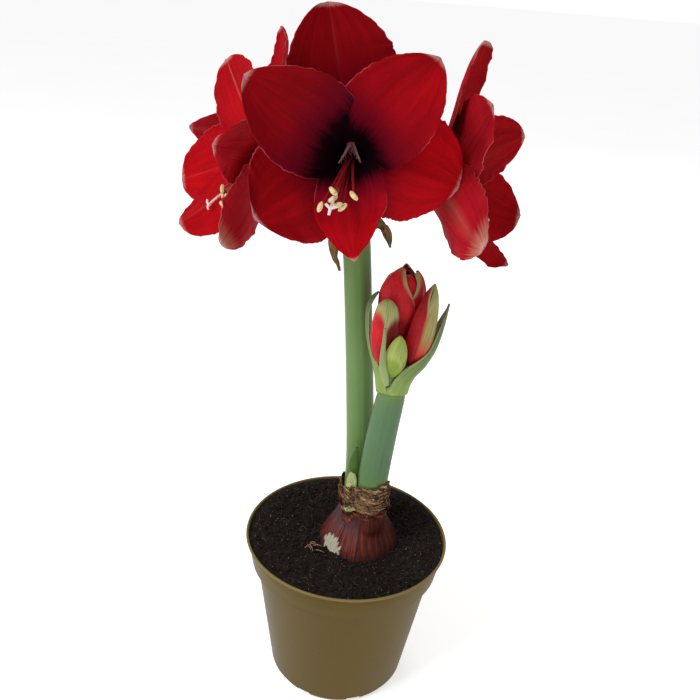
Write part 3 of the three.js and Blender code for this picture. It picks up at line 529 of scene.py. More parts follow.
def fibre_paths(chance, reach):
    """Hair-thin fibres anywhere on the peat."""
    paths = []
    for _ in range(FIBRES):
        distance, angle = 70 * math.sqrt(chance.random()), chance.uniform(0, 2 * math.pi)
        x, y = distance * math.cos(angle), distance * math.sin(angle)
        heading, length = chance.uniform(0, 2 * math.pi), chance.uniform(2, 7)
        path = []
        for step in range(FIBRE_STEPS + 1):
            x += math.cos(heading) * length / FIBRE_STEPS
            y += math.sin(heading) * length / FIBRE_STEPS
            heading += chance.uniform(-0.5, 0.5)
            if math.hypot(x, y) < reach:
                lift = 0.5 + 0.5 * math.sin(math.pi * step / FIBRE_STEPS)
                path.append((Vector((x, y, peat_height(x, y) + lift)), FIBRE_RADIUS))
        if len(path) > 2:
            paths.append(path)
    return paths


def root_paths(chance):
    """Bits of dry root that lie to the left of the bulb."""
    paths = []
    for _ in range(ROOTS):
        x, y = chance.uniform(-30, -22), chance.uniform(-13, -4)
        heading, length = chance.uniform(-0.9, 0.9), chance.uniform(4, 8)
        path = []
        for step in range(ROOT_STEPS + 1):
            share = step / ROOT_STEPS
            lift = 0.7 + 1.5 * math.sin(math.pi * share)
            path.append((Vector((x, y, peat_height(x, y) + lift)), lerp(0.4, 0.2, share)))
            x += math.cos(heading) * length / ROOT_STEPS
            y += math.sin(heading) * length / ROOT_STEPS
            heading += chance.uniform(-0.5, 0.5)
        paths.append(path)
    return paths


def make_peat():
    sectors, rows, bare = PEAT["sectors"], PEAT["rings"], PEAT["bare_rings"]
    outer = POT["rim"] - PEAT["wall_gap"]
    floor = POT["floor_top"] + PEAT["floor_gap"]
    rings = [
        ring((0, 0), POT["foot"] + 2.2 - POT["wall"], floor, sectors),
        ring((0, 0), POT["rim"] - 10.6, POT["step"] - 3, sectors),
        ring((0, 0), POT["rim"] - 7.4, POT["step"] + 2, sectors),
    ]
    under = len(rings)
    for step in range(rows):
        level = ring((0, 0), outer * (1 - step / rows), 0, sectors)
        rings.append([(x, y, peat_height(x, y)) for x, y, _ in level])
    points, faces = loft(rings, (0, 0, floor), (0, 0, peat_height(0, 0)))
    material = peat_material()
    settle(grow("peat", (points, faces), material), "peat", "soil")

    open_top = points[(under + bare) * sectors:-2], loft_faces(rows - bare, sectors)
    bed = grow("peat_crumbs", open_top, material)
    density = CRUMBS / (math.pi * (outer * MM) ** 2)
    worked_by(bed, crumb_tree(material), Density=density,
              Smallest=SMALLEST_CRUMB * MM, Largest=LARGEST_CRUMB * MM)
    settle(bed, "peat", "soil")

    chance = random.Random(8)
    fibre = two_tone_material("peat_fibre", 0.9, 300.0, (0.05, 0.03, 0.02), (0.26, 0.19, 0.12))
    settle(strands("peat_fibres", fibre_paths(chance, outer - 1), fibre, sides=4), "peat", "soil")
    root = two_tone_material("dry_root", 0.8, 350.0, (0.14, 0.06, 0.045), (0.5, 0.3, 0.22))
    settle(strands("root_bits", root_paths(chance), root, sides=6), "dry_skin", "soil")


make_peat()


# ---------------------------------------------------------------- bulb
# A fist-sized bulb, three quarters of it in the peat, wrapped in dry maroon skin with long
# veins. Where the skin has split low on the left, the fleshy cream scale under it shows.
BULB_PROFILE = [
    (50, 12), (56, 23), (66, 30.5), (78, 34), (90, 34.4), (100, 32.6), (108, 30.2), (115, 27.2),
    (122, 23.4), (129, 19.4), (136, 17), (143, 16), (149, 15.6),
]
BULB_SIDES = 180
BULB_HEIGHTS = [50 + 0.9 * i for i in range(111)]
NECK_FROM = 120
SCAPE_HOLES = ((5.5, 21, 10.3), (15.3, 1, 11.0))
NECK_WALL = 1.25
BARE_PATCH = dict(turn=-138, height=113, half_angle=19, half_height=6.6)
SLIT = dict(turn=-143, low=134, high=151, half_angle=4.5)
BULB_VALUES = ("around", "height", "bare", "slit")


def profile_radius(height):
    """Radius of the bulb at a height, by a smooth curve through its profile."""
    last = len(BULB_PROFILE) - 1
    spot = next((i for i, (z, _) in enumerate(BULB_PROFILE) if z >= height), last)
    spot = min(max(spot, 1), last)
    (z0, r0), (z1, r1) = BULB_PROFILE[spot - 1], BULB_PROFILE[spot]
    before = BULB_PROFILE[max(spot - 2, 0)]
    after = BULB_PROFILE[min(spot + 1, last)]
    slope0 = (r1 - before[1]) / (z1 - before[0])
    slope1 = (after[1] - r0) / (after[0] - z0)
    t = min(max((height - z0) / (z1 - z0), 0), 1)
    span = z1 - z0
    bend = (1 - t) ** 2 * t * span * slope0 - (1 - t) * t * t * span * slope1
    return r0 * (1 - t) ** 2 * (1 + 2 * t) + r1 * t * t * (3 - 2 * t) + bend


def neck_reach(angle):
    """Distance from the bulb's axis to the far side of both scapes, in one direction."""
    reach = 0
    for x, y, radius in SCAPE_HOLES:
        dx, dy = x - BULB_CENTRE[0], y - BULB_CENTRE[1]
        sidestep = dx * math.cos(angle) + dy * math.sin(angle)
        wall = radius + NECK_WALL
        miss = dx * dx + dy * dy - sidestep * sidestep
        if miss < wall * wall:
            reach = max(reach, sidestep + math.sqrt(wall * wall - miss))
    return reach


def soft_max(first, second, width=1.5):
    """The larger of two lengths, rounded where they cross."""
    share = smooth(0.5 + (first - second) / (2 * width))
    return lerp(second, first, share) + width * 0.5 * share * (1 - share)


def bulb_radius(angle, height):
    """Reach of the bulb's skin: its turned profile with low ridges, oval where it is the neck."""
    ridge = 0.012 * (math.sin(5 * angle + height * 0.03) + 0.6 * math.sin(11 * angle))
    radius = profile_radius(height) * (1 + ridge)
    if height > NECK_FROM:
        share = smooth((height - NECK_FROM) / 9)
        radius = lerp(radius, soft_max(radius, neck_reach(angle)), share)
    return radius


def bulb_material():
    """Maroon skin in long streaks: greyed at the upper left, rosy below it, painted darker at the far
    right as shade and soiled at its foot, with the bare patch and the slit, painted near-black as shade."""
    material, tree, shader = new_material("maroon_bulb_skin", 0.55, Specular_IOR_Level=0.22)
    around, height, bare, slit = (value_at(tree, name) for name in BULB_VALUES)
    x, _, z = spot_on(tree)

    def streaks(wide, tall, detail, offset):
        inputs = {0: times(tree, around, wide), 1: times(tree, height, tall), 2: offset}
        place = put(tree, "ShaderNodeCombineXYZ", inputs).outputs[0]
        return put(tree, "ShaderNodeTexNoise", {"Vector": place, "Scale": 1.0, "Detail": detail}).outputs[0]

    broad = streaks(22.0, 0.9, 3.0, 0.0)
    veins = streaks(70.0, 1.3, 4.0, 4.0)
    fine = streaks(190.0, 1.8, 3.0, 8.0)
    colour = blend(tree, ease(tree, broad, 0.36, 0.64), (0.064, 0.007, 0.004), (0.15, 0.021, 0.011))
    colour = tint(tree, colour, (0.29, 0.066, 0.033), ease(tree, veins, 0.48, 0.68), 0.5)
    colour = tint(tree, colour, (0.34, 0.11, 0.075), ease(tree, fine, 0.57, 0.72), 0.4)
    drift = times_plus(tree, broad, 0.03, x)
    # Painted shade: the far right of the bulb, away from the light, is painted darker.
    colour = tint(tree, colour, (0.045, 0.006, 0.004), ease(tree, drift, 0.026, 0.045), 0.55)
    left = ease(tree, drift, 0.034, 0.012)
    upper = ease(tree, times_plus(tree, veins, 0.014, z), 0.125, 0.138)
    dull = times(tree, times(tree, left, upper), 0.9)
    greyed = blend(tree, ease(tree, veins, 0.36, 0.66), (0.058, 0.026, 0.03), (0.14, 0.078, 0.078))
    colour = blend(tree, dull, colour, greyed)
    rosy = times(tree, left, maths(tree, "SUBTRACT", 1.0, upper))
    rosy = times(tree, rosy, ease(tree, veins, 0.4, 0.62))
    colour = tint(tree, colour, (0.3, 0.065, 0.07), rosy, 0.55)
    soiled = times_plus(tree, mottle(tree, 240.0).height, 0.012, z)
    soiled = ease(tree, soiled, 0.1195, 0.1165)
    colour = tint(tree, colour, (0.02, 0.012, 0.01), soiled, 0.6)
    cream = blend(tree, ease(tree, fine, 0.4, 0.6), (0.42, 0.4, 0.27), (0.72, 0.7, 0.56))
    colour = blend(tree, bare, colour, cream)
    # The slit is painted near-black: painted shade inside a split in the skin, where no gap is modelled.
    colour = blend(tree, slit, colour, (0.014, 0.003, 0.003))
    dress(tree, shader, colour, times_plus(tree, veins, 0.3, 0.38))
    bump(tree, shader, times_plus(tree, fine, 0.4, veins), 0.8, 0.8)
    return material


def away(spread, turn):
    """Degrees between two directions round the bulb."""
    return abs((spread - turn + 180) % 360 - 180)


def bare_share(spot, spread):
    """1 inside the bare patch, 0 outside, with a torn edge."""
    jag = 0.5 * noise.noise(Vector((spot.x, spot.y, spot.z * 0.25)) / 1.5)
    aside = away(spread, BARE_PATCH["turn"]) / BARE_PATCH["half_angle"]
    upward = (spot.z - BARE_PATCH["height"]) / BARE_PATCH["half_height"]
    return 1 - smooth((math.hypot(aside, upward) + jag - 0.82) / 0.08)


def slit_share(height, spread):
    depth = smooth((height - SLIT["low"]) / 4) * smooth((SLIT["high"] - height) / 3)
    return depth * (1 - smooth(away(spread, SLIT["turn"]) / SLIT["half_angle"] - 0.3))


def make_bulb():
    rings, values = [], {name: [] for name in BULB_VALUES}
    for height in BULB_HEIGHTS:
        row = []
        for k in range(BULB_SIDES):
            angle = 2 * math.pi * k / BULB_SIDES
            out = Vector((math.cos(angle), math.sin(angle), 0))
            reach = bulb_radius(angle, height)
            x = BULB_CENTRE[0] + reach * math.cos(angle)
            y = BULB_CENTRE[1] + reach * math.sin(angle)
            spot = Vector((x, y, height))
            fold = 0.5 * noise.noise(Vector((x / 2.6, y / 2.6, height / 22)))
            fold += 0.14 * math.sin(31 * angle + 2 * math.sin(height / 9))
            row.append(spot + out * fold * smooth((height - 90) / 15))
            spread = math.degrees(math.atan2(y - BULB_CENTRE[1], x - BULB_CENTRE[0]))
            values["around"].append(abs(angle / math.pi - 1))
            values["height"].append((height - 110) / 30)
            values["bare"].append(bare_share(spot, spread))
            values["slit"].append(slit_share(height, spread))
        rings.append(row)
    lowest = Vector((*BULB_CENTRE, BULB_HEIGHTS[0] - 2))
    highest = Vector((*BULB_CENTRE, BULB_HEIGHTS[-1] - 0.8))
    for numbers in values.values():
        numbers += [0, 0]
    solid = (*loft(rings, lowest, highest), values)
    settle(grow("bulb", solid, bulb_material()), "bulb_skin", "bulb")


make_bulb()


# ---------------------------------------------------------------- neck skin
# The old skins round the neck have dried to brown paper in rumpled layers with torn edges and
# curled flakes. Under them the bulb's red outer skin ends in a rolled rim.
# The heights and offsets run round the neck in eight steps, from the right by the back.
NECK_LAYERS = (
    dict(low=(146, 142, 139, 144, 150, 138, 147, 149), high=(163, 159, 157, 154, 154, 160, 167, 168.5),
         out=(-0.8, 0.3, 0.9, 0.9, 0.9, 0.7, 0.5, 0.0), flare=0.8, red=0.0),
    dict(low=(151, 145, 140, 145, 150, 148, 153, 156), high=(157, 156, 153, 151, 153, 155, 160, 162),
         out=(-0.5, 0.5, 1.5, 1.6, 1.6, 1.5, 1.3, 0.5), flare=2.0, red=0.1),
    dict(low=(145, 143, 137, 142, 149, 139, 146, 148), high=(150, 149, 146, 148, 152, 147, 152, 154),
         out=(-0.5, 0.4, 1.8, 1.6, 1.4, 1.9, 1.9, 0.9), flare=1.8, red=0.25),
    dict(low=(139, 137, 134, 138, 144, 131, 139, 141), high=(146, 143, 140, 144, 147, 138, 146, 148),
         out=(-0.2, 0.4, 0.6, 0.4, 0.3, 0.5, 0.6, 0.3), flare=2.2, red=1.0),
)
SPLIT = (math.radians(186), math.radians(219))
NECK_ROWS, NECK_SIDES, NECK_WALL_THICK = 26, 200, 0.35
NECK_TOP = 149
FLAKES, FLAKE_THICK, FLAKE_ROWS, FLAKE_COLUMNS = 70, 0.3, 14, 5
GREEN_FLAKE = dict(
    angle=math.radians(-121), height=143.4, swing=0.62, rise=4.6, half_width=2.6, curl=0.5, lift=2.3,
)
LOOSE_FLAKES, LOOSE_FIBRES, FIBRE_BENDS = 5, 60, 5


def blade_solid(rows, thickness, edge=0.4):
    """Points, faces and values of a blade of rows of points, thinner towards its margins."""
    last, columns = len(rows) - 1, len(rows[0])
    outer, inner, across, length = [], [], [], []
    for i, row in enumerate(rows):
        below, above = rows[max(i - 1, 0)], rows[min(i + 1, last)]
        for j, point in enumerate(row):
            u = 2 * j / (columns - 1) - 1
            sideways = row[min(j + 1, columns - 1)] - row[max(j - 1, 0)]
            normal = (above[j] - below[j]).cross(sideways)
            half = 0.5 * thickness * lerp(1, edge, abs(u) ** 3)
            normal = normal.normalized() * half if normal.length > 1e-9 else Vector()
            outer.append(point - normal)
            inner.append(point + normal)
            across.append(u)
            length.append(i / last)
    faces = []
    offset = len(outer)
    for i in range(last):
        for j in range(columns - 1):
            a = i * columns + j
            b, c, d = a + 1, a + columns + 1, a + columns
            faces += [(a, b, c, d), (offset + a, offset + d, offset + c, offset + b)]
    rim = [(j, j + 1) for j in range(columns - 1)]
    rim += [((i + 1) * columns - 1, (i + 2) * columns - 1) for i in range(last)]
    rim += [(last * columns + j, last * columns + j - 1) for j in range(columns - 1, 0, -1)]
    rim += [(i * columns, (i - 1) * columns) for i in range(last, 0, -1)]
    faces += [(b, a, offset + a, offset + b) for a, b in rim]
    values = {"across": across * 2, "along": length * 2, "outside": [1.0] * offset + [0.0] * offset}
    return outer + inner, faces, values


def join_solids(solids):
    """One solid from several, each with its own kin value."""
    points, faces, values = [], [], {"kin": []}
    for number, (own_points, own_faces, own_values) in enumerate(solids):
        start = len(points)
        points += own_points
        faces += [tuple(start + i for i in face) for face in own_faces]
        for key, numbers in own_values.items():
            values.setdefault(key, []).extend(numbers)
        values["kin"] += [number / len(solids)] * len(own_points)
    return points, faces, values


def neck_material():
    """Rumpled brown paper with painted shade in its folds and painted highlights on its torn fibres, redder
    towards the right.
    """
    material, tree, shader = new_material("dry_neck_skin", 0.8, Specular_IOR_Level=0.2)
    across, red, green = (value_at(tree, name) for name in ("across", "red", "green"))
    x, _, z = spot_on(tree)
    slanted = times_plus(tree, across, 2.2, times(tree, z, 700.0))
    apart = times(tree, value_at(tree, "kin"), 30.0)
    wide = times(tree, across, 1.8)
    place = put(tree, "ShaderNodeCombineXYZ", {0: wide, 1: slanted, 2: apart}).outputs[0]
    inputs = {"Vector": place, "Scale": 1.0, "Detail": 5.0, "Roughness": 0.65, "Distortion": 0.7}
    fibres = put(tree, "ShaderNodeTexNoise", inputs).outputs[0]
    rumple = mottle(tree, 190.0, edge=0.14)
    colour = blend(tree, rumple.mask, (0.09, 0.035, 0.014), (0.36, 0.21, 0.085))
    ruddy = blend(tree, rumple.mask, (0.055, 0.008, 0.005), (0.2, 0.042, 0.022))
    patchy = ease(tree, mottle(tree, 120.0).height, 0.4, 0.55)
    side = times(tree, ease(tree, x, 0.008, 0.024), patchy)
    colour = blend(tree, maths(tree, "MAXIMUM", red, times(tree, side, 0.7)), colour, ruddy)
    colour = tint(tree, colour, (0.4, 0.42, 0.17), green, 0.9)
    # Painted shade: the darkest fibre streaks stand for shade between fibres and in folds.
    colour = tint(tree, colour, (0.014, 0.005, 0.003), ease(tree, fibres, 0.48, 0.4), 0.95)
    # Painted highlights: the brightest fibre streaks are painted as glints, cream on brown paper and pinker
    # on red.
    glint = blend(tree, red, (0.82, 0.66, 0.44), (0.52, 0.17, 0.095))
    colour = tint(tree, colour, glint, ease(tree, fibres, 0.56, 0.65), 0.85)
    dress(tree, shader, colour, times_plus(tree, fibres, 0.25, 0.6))
    bump(tree, shader, fibres, 1.2)
    return material


def round_neck(row, place):
    """A value given at equal steps round the neck, eased between them."""
    spot = place * len(row) % len(row)
    index = int(spot)
    return lerp(row[index], row[(index + 1) % len(row)], smooth(spot - index))


def neck_point(angle, height, lift):
    """A point that stands off the bulb's neck."""
    body = max(profile_radius(min(height, NECK_TOP)), neck_reach(angle) if height > NECK_FROM + 4 else 0)
    return Vector((*BULB_CENTRE, height)) + Vector((math.cos(angle), math.sin(angle), 0)) * (body + lift)


def neck_layer(layer, seed):
    """A rumpled tube of skin round the neck, with ragged edges and a top that turns out."""
    inner = []
    for i in range(NECK_ROWS + 1):
        share = i / NECK_ROWS
        row = []
        for k in range(NECK_SIDES):
            place = k / NECK_SIDES
            angle = 2 * math.pi * place
            turn = Vector((math.cos(angle), math.sin(angle), seed * 7))
            top = round_neck(layer["high"], place) + 2.2 * noise.noise(turn * 3.1)
            top += 1.8 * noise.noise(turn * 12) + 0.9 * noise.noise(turn * 30)
            bottom = round_neck(layer["low"], place) + 2 * noise.noise(turn * 5 + Vector((0, 0, 50)))
            left_of_split = smooth((angle - SPLIT[0]) / 0.1) * smooth((SPLIT[1] - angle) / 0.05)
            bottom = min(bottom + 12 * left_of_split, top - 1)
            height = lerp(bottom, top, share)
            spot = turn * 11 + Vector((0, 0, height * 2.6))
            rumple = 0.9 * noise.noise(spot * 0.34) + 0.6 * noise.noise(spot * 0.9)
            flare = layer["flare"] * max(share - 0.7, 0) * 3.3 * (0.5 + noise.noise(turn * 2.2))
            lift = round_neck(layer["out"], place) + max(rumple, -0.4) + max(flare, -0.2)
            row.append(neck_point(angle, height, lift))
        inner.append(row)
    outer = []
    for row in inner:
        outer.append([p + (p - Vector((*BULB_CENTRE, p.z))).normalized() * NECK_WALL_THICK for p in row])
    stack = outer + inner[::-1]
    points = [point for row in stack for point in row]
    around = [abs(2 * k / NECK_SIDES - 1) * 6 for _ in stack for k in range(NECK_SIDES)]
    values = {"across": around, "red": [layer["red"]] * len(points), "green": [0.0] * len(points)}
    return points, loft_faces(len(stack), NECK_SIDES, closed=True), values


def neck_flake(angle, height, swing, rise, half_width, curl, lift, red=0.0, green=0.0):
    """A torn flake that hugs the neck; its upper margin curls out."""
    rows = []
    for i in range(FLAKE_ROWS + 1):
        t = i / FLAKE_ROWS
        turn = angle + swing * (t - 0.5)
        ragged = 0.6 + 0.6 * noise.noise(Vector((angle * 9, t * 7, height)))
        width = half_width * math.sin(math.pi * lerp(0.06, 0.94, t)) ** 0.6 * (0.7 + ragged * 0.5)
        middle = height + rise * (t - 0.5) + 0.8 * noise.noise(Vector((t * 4, height, angle)))
        row = []
        for j in range(FLAKE_COLUMNS + 1):
            u = 2 * j / FLAKE_COLUMNS - 1
            off = lift + curl * ((u + 1) / 2) ** 2 + 0.5 * noise.noise(Vector((t * 5, u, height)))
            row.append(neck_point(turn, middle + width * u * (1 - 0.25 * max(u, 0)), off))
        rows.append(row)
    points, faces, values = blade_solid(rows, FLAKE_THICK, 0.8)
    values["across"] = [0.5 * height + 2.4 * (number + swing) for number in values["along"]]
    values.update(red=[red] * len(points), green=[green] * len(points))
    return points, faces, values


def neck_flakes(chance):
    """Flakes all round the neck, a green one low in front and loose ones up its left side."""
    flakes = []
    for k in range(FLAKES):
        share = k / FLAKES
        angle = 2 * math.pi * (k + chance.random()) / FLAKES
        level = chance.random()
        low, high = (round_neck(NECK_LAYERS[layer]["high"], share) for layer in (3, 0))
        height = lerp(low + 1, high - 1.5, level)
        tilt, wide = chance.uniform(-4, 4), chance.uniform(0.7, 1.9)
        lift = round_neck(NECK_LAYERS[2]["out"], share) + chance.uniform(-0.3, 0.5)
        swing, curl = chance.uniform(0.2, 0.6), chance.uniform(0.2, 1.5)
        red = 0.5 * chance.random() ** 2
        flakes.append(neck_flake(angle, height, swing, tilt, wide, curl, lift, red=red))
    flakes.append(neck_flake(**GREEN_FLAKE, green=1.0))
    for k in range(LOOSE_FLAKES):
        angle, height = math.radians(168 + 7 * k), 149 + 1.3 * k
        flakes.append(neck_flake(angle, height, 0.22, chance.uniform(2, 5), 3.0, 2.2, 1.2))
    return flakes


def neck_fibres(chance):
    """Loose ends of fibre that stand off the layers."""
    paths = []
    for _ in range(LOOSE_FIBRES):
        angle, height = chance.uniform(0, 2 * math.pi), chance.uniform(146, 160)
        swing, rise = chance.uniform(-0.35, 0.35), chance.uniform(-5, 5)
        path = []
        for step in range(FIBRE_BENDS + 1):
            share = step / FIBRE_BENDS
            z = height + rise * share + 0.8 * math.sin(5 * share)
            place = neck_point(angle + swing * share, z, 2.4 + 0.8 * math.sin(3 * share + angle))
            path.append((place, 0.14 * (1.1 - share)))
        paths.append(path)
    return paths


def make_neck_skin():
    material = neck_material()
    chance = random.Random(21)
    layers = join_solids([neck_layer(layer, seed) for seed, layer in enumerate(NECK_LAYERS, 1)])
    settle(grow("neck_skin_layers", layers, material), "dry_skin", "bulb_tunic")
    settle(grow("neck_flakes", join_solids(neck_flakes(chance)), material), "dry_skin", "bulb_tunic")
    fibre = two_tone_material("neck_fibre", 0.85, 200.0, (0.16, 0.08, 0.035), (0.55, 0.4, 0.22))
    settle(strands("neck_fibres", neck_fibres(chance), fibre, sides=4), "dry_skin", "bulb_tunic")


make_neck_skin()


# ---------------------------------------------------------------- scapes
# Two hollow flower stems, smooth and waxy. The tall one is bright green with four pedicels that
# swell into ovaries; the short one has a grey-green bloom, painted shade in streaks down its right side and
# a pale collar.
TALL_SCAPE = [
    (5.6, 21.4, 128, 10.2), (5.5, 21, 167, 10.3), (1.2, 20, 225, 9.9), (-4, 19, 280, 9.5),
    (-8.5, 18.3, 325, 9.4), (-11, 18, 346, 9.6), (-11.2, 18, 352, 7.4),
]
SHORT_SCAPE = [
    (15.2, 1.2, 128, 10.9), (15.3, 1, 160, 11), (18, -1.5, 200, 10.7), (21.5, -5, 236, 10),
    (22.5, -6, 246, 9.2), (23, -6, 251, 6.5),
]


def along(row, share):
    """Value of a row of numbers at a share of its length."""
    place = min(max(share, 0), 1) * (len(row) - 1)
    index = min(int(place), len(row) - 2)
    return lerp(row[index], row[index + 1], place - index)


def curve_point(points, share):
    """A centripetal Catmull-Rom curve through points, at a share of its stretches."""
    last = len(points) - 1
    place = min(max(share, 0), 1) * last
    index = min(int(place), last - 1)
    t = place - index
    p1, p2 = points[index], points[index + 1]
    p0 = points[index - 1] if index > 0 else 2 * p1 - p2
    p3 = points[index + 2] if index + 2 <= last else 2 * p2 - p1
    d0, d1, d2 = (math.sqrt((b - a).length) for a, b in ((p0, p1), (p1, p2), (p2, p3)))
    slope1 = ((p1 - p0) / d0 - (p2 - p0) / (d0 + d1) + (p2 - p1) / d1) * d1
    slope2 = ((p2 - p1) / d1 - (p3 - p1) / (d1 + d2) + (p3 - p2) / d2) * d1
    square, cube = t * t, t * t * t
    return (p1 + slope1 * t + (3 * (p2 - p1) - 2 * slope1 - slope2) * square
            + (2 * (p1 - p2) + slope1 + slope2) * cube)


def curve_tangent(points, share, step=1e-3):
    before, after = max(share - step, 0), min(share + step, 1)
    return (curve_point(points, after) - curve_point(points, before)).normalized()


def vein_group():
    """Fine lines that follow a blade or stem, from its across and along values."""
    group, entry, leave = pattern_group("long_veins", {"Count": 20.0, "Wander": 1.0, "Softness": 0.1})
    across = times(group, value_at(group, "across"), entry.outputs["Count"])
    flow = times(group, value_at(group, "along"), entry.outputs["Wander"])
    own = times(group, value_at(group, "kin"), 17.0)
    place = put(group, "ShaderNodeCombineXYZ", {0: across, 1: flow, 2: own}).outputs[0]
    inputs = {"Vector": place, "Scale": 1.0, "Detail": 3.0, "Roughness": 0.65}
    line = put(group, "ShaderNodeTexNoise", inputs).outputs[0]
    end_pattern(group, leave, line, entry.outputs["Softness"])
    return group


VEINS = vein_group()


def long_veins(tree, count, wander, softness):
    return use_pattern(tree, VEINS, Count=count, Wander=wander, Softness=softness)


def stem_material(name, low, high, foot, wax, wax_share):
    """Waxy green that turns from low to high, with fine ribs, painted shade in streaks down its
    right side, a yellower foot and fresh green under the buds."""
    material, tree, shader = new_material(name, 0.42, Specular_IOR_Level=0.2, Subsurface_Weight=0.05)
    veins = long_veins(tree, 34.0, 2.5, 0.14)
    cloud = mottle(tree, 40.0, 3.0)
    colour = blend(tree, value_at(tree, "along"), low, high)
    colour = tint(tree, colour, foot, veins.mask, 0.34)
    colour = tint(tree, colour, wax, cloud.mask, wax_share)
    x, _, z = spot_on(tree)
    # Painted shade: streaks darken the right side of the stem, away from the light.
    right_side_shade = times(tree, ease(tree, x, 0.0165, 0.021), ease(tree, z, 0.215, 0.175))
    right_side_shade = times(tree, right_side_shade, long_veins(tree, 5.0, 1.0, 0.1).mask)
    colour = tint(tree, colour, foot, right_side_shade, 0.75)
    yellowed = times(tree, ease(tree, z, 0.185, 0.162), 0.6)
    fresh = times(tree, ease(tree, x, 0.009, 0.013), ease(tree, z, 0.232, 0.248))
    yellowed = maths(tree, "MAXIMUM", yellowed, times(tree, fresh, 0.8))
    colour = blend(tree, yellowed, colour, (0.14, 0.24, 0.05))
    dress(tree, shader, colour, times_plus(tree, cloud.height, 0.3, 0.3))
    bump(tree, shader, veins.height, 0.25, 0.6)
    return material


def stem_solid(stations, steps=120, sides=72):
    """A stem as level rings along its centre line, with faint ridges."""
    centres = [Vector(station[:3]) for station in stations]
    radii = [station[3] for station in stations]
    rings, across, length = [], [], []
    for i in range(steps + 1):
        share = i / steps
        centre, radius = curve_point(centres, share), along(radii, share)
        row = []
        for k in range(sides):
            angle = 2 * math.pi * k / sides
            ridged = radius * (1 + 0.006 * math.sin(9 * angle) + 0.004 * math.sin(14 * angle + 2 * share))
            row.append(centre + Vector((ridged * math.cos(angle), ridged * math.sin(angle), 0)))
            across.append(abs(2 * k / sides - 1) * 2)
            length.append(share)
        rings.append(row)
    points, faces = loft(rings, centres[0], centres[-1] + Vector((0, 0, 0.6)))
    return points, faces, {"across": across + [0, 0], "along": length + [0, 1], "kin": [0.3] * len(points)}


# ---------------------------------------------------------------- blooms
# Four trumpet blooms on the tall scape, each of three sepals and three petals, velvety crimson
# and nearly black in the throat, partly its own colour and partly painted shade. Six stamens and a
# style arch out over the lowest petal.
SEPAL = dict(
    mouth=16, bend_from=0.05, bend_to=0.64, root_radius=5.5, root_lift=-3, cup_tip=8,
    fullest=1.2, blunt=0.6, curl=0, keel=0, twist=0, tip_share=0.02,
)
PETAL = dict(
    mouth=14, bend_from=0.1, bend_to=0.7, root_radius=4, root_lift=0, cup_tip=18,
    fullest=1.3, blunt=0.5, curl=0, keel=0, twist=0, tip_share=0.02,
)
CURL_FROM = 0.72
ROOT_SPAN = 0.95
TEPAL_ROWS, TEPAL_COLUMNS, STEPS_PER_ROW = 90, 36, 4
TEPAL_THICK = 0.9


def tepal(kind, around, length, width, flare, curl, twist, cup_tip, keel, fullest, blunt,
          deep=0.2, reach=None, band=0.1, crown=0.0, crease=0.0, over=(0, 0), **rest):
    shape = dict(kind, around=around, length=length, width=width, flare=flare, curl=curl, twist=twist)
    shape.update(cup_tip=cup_tip, keel=keel, fullest=fullest, blunt=blunt, **rest)
    shape.update(deep=deep, reach=deep if reach is None else reach)
    shape.update(band=band, crown=crown, crease=crease, over=over)
    return shape
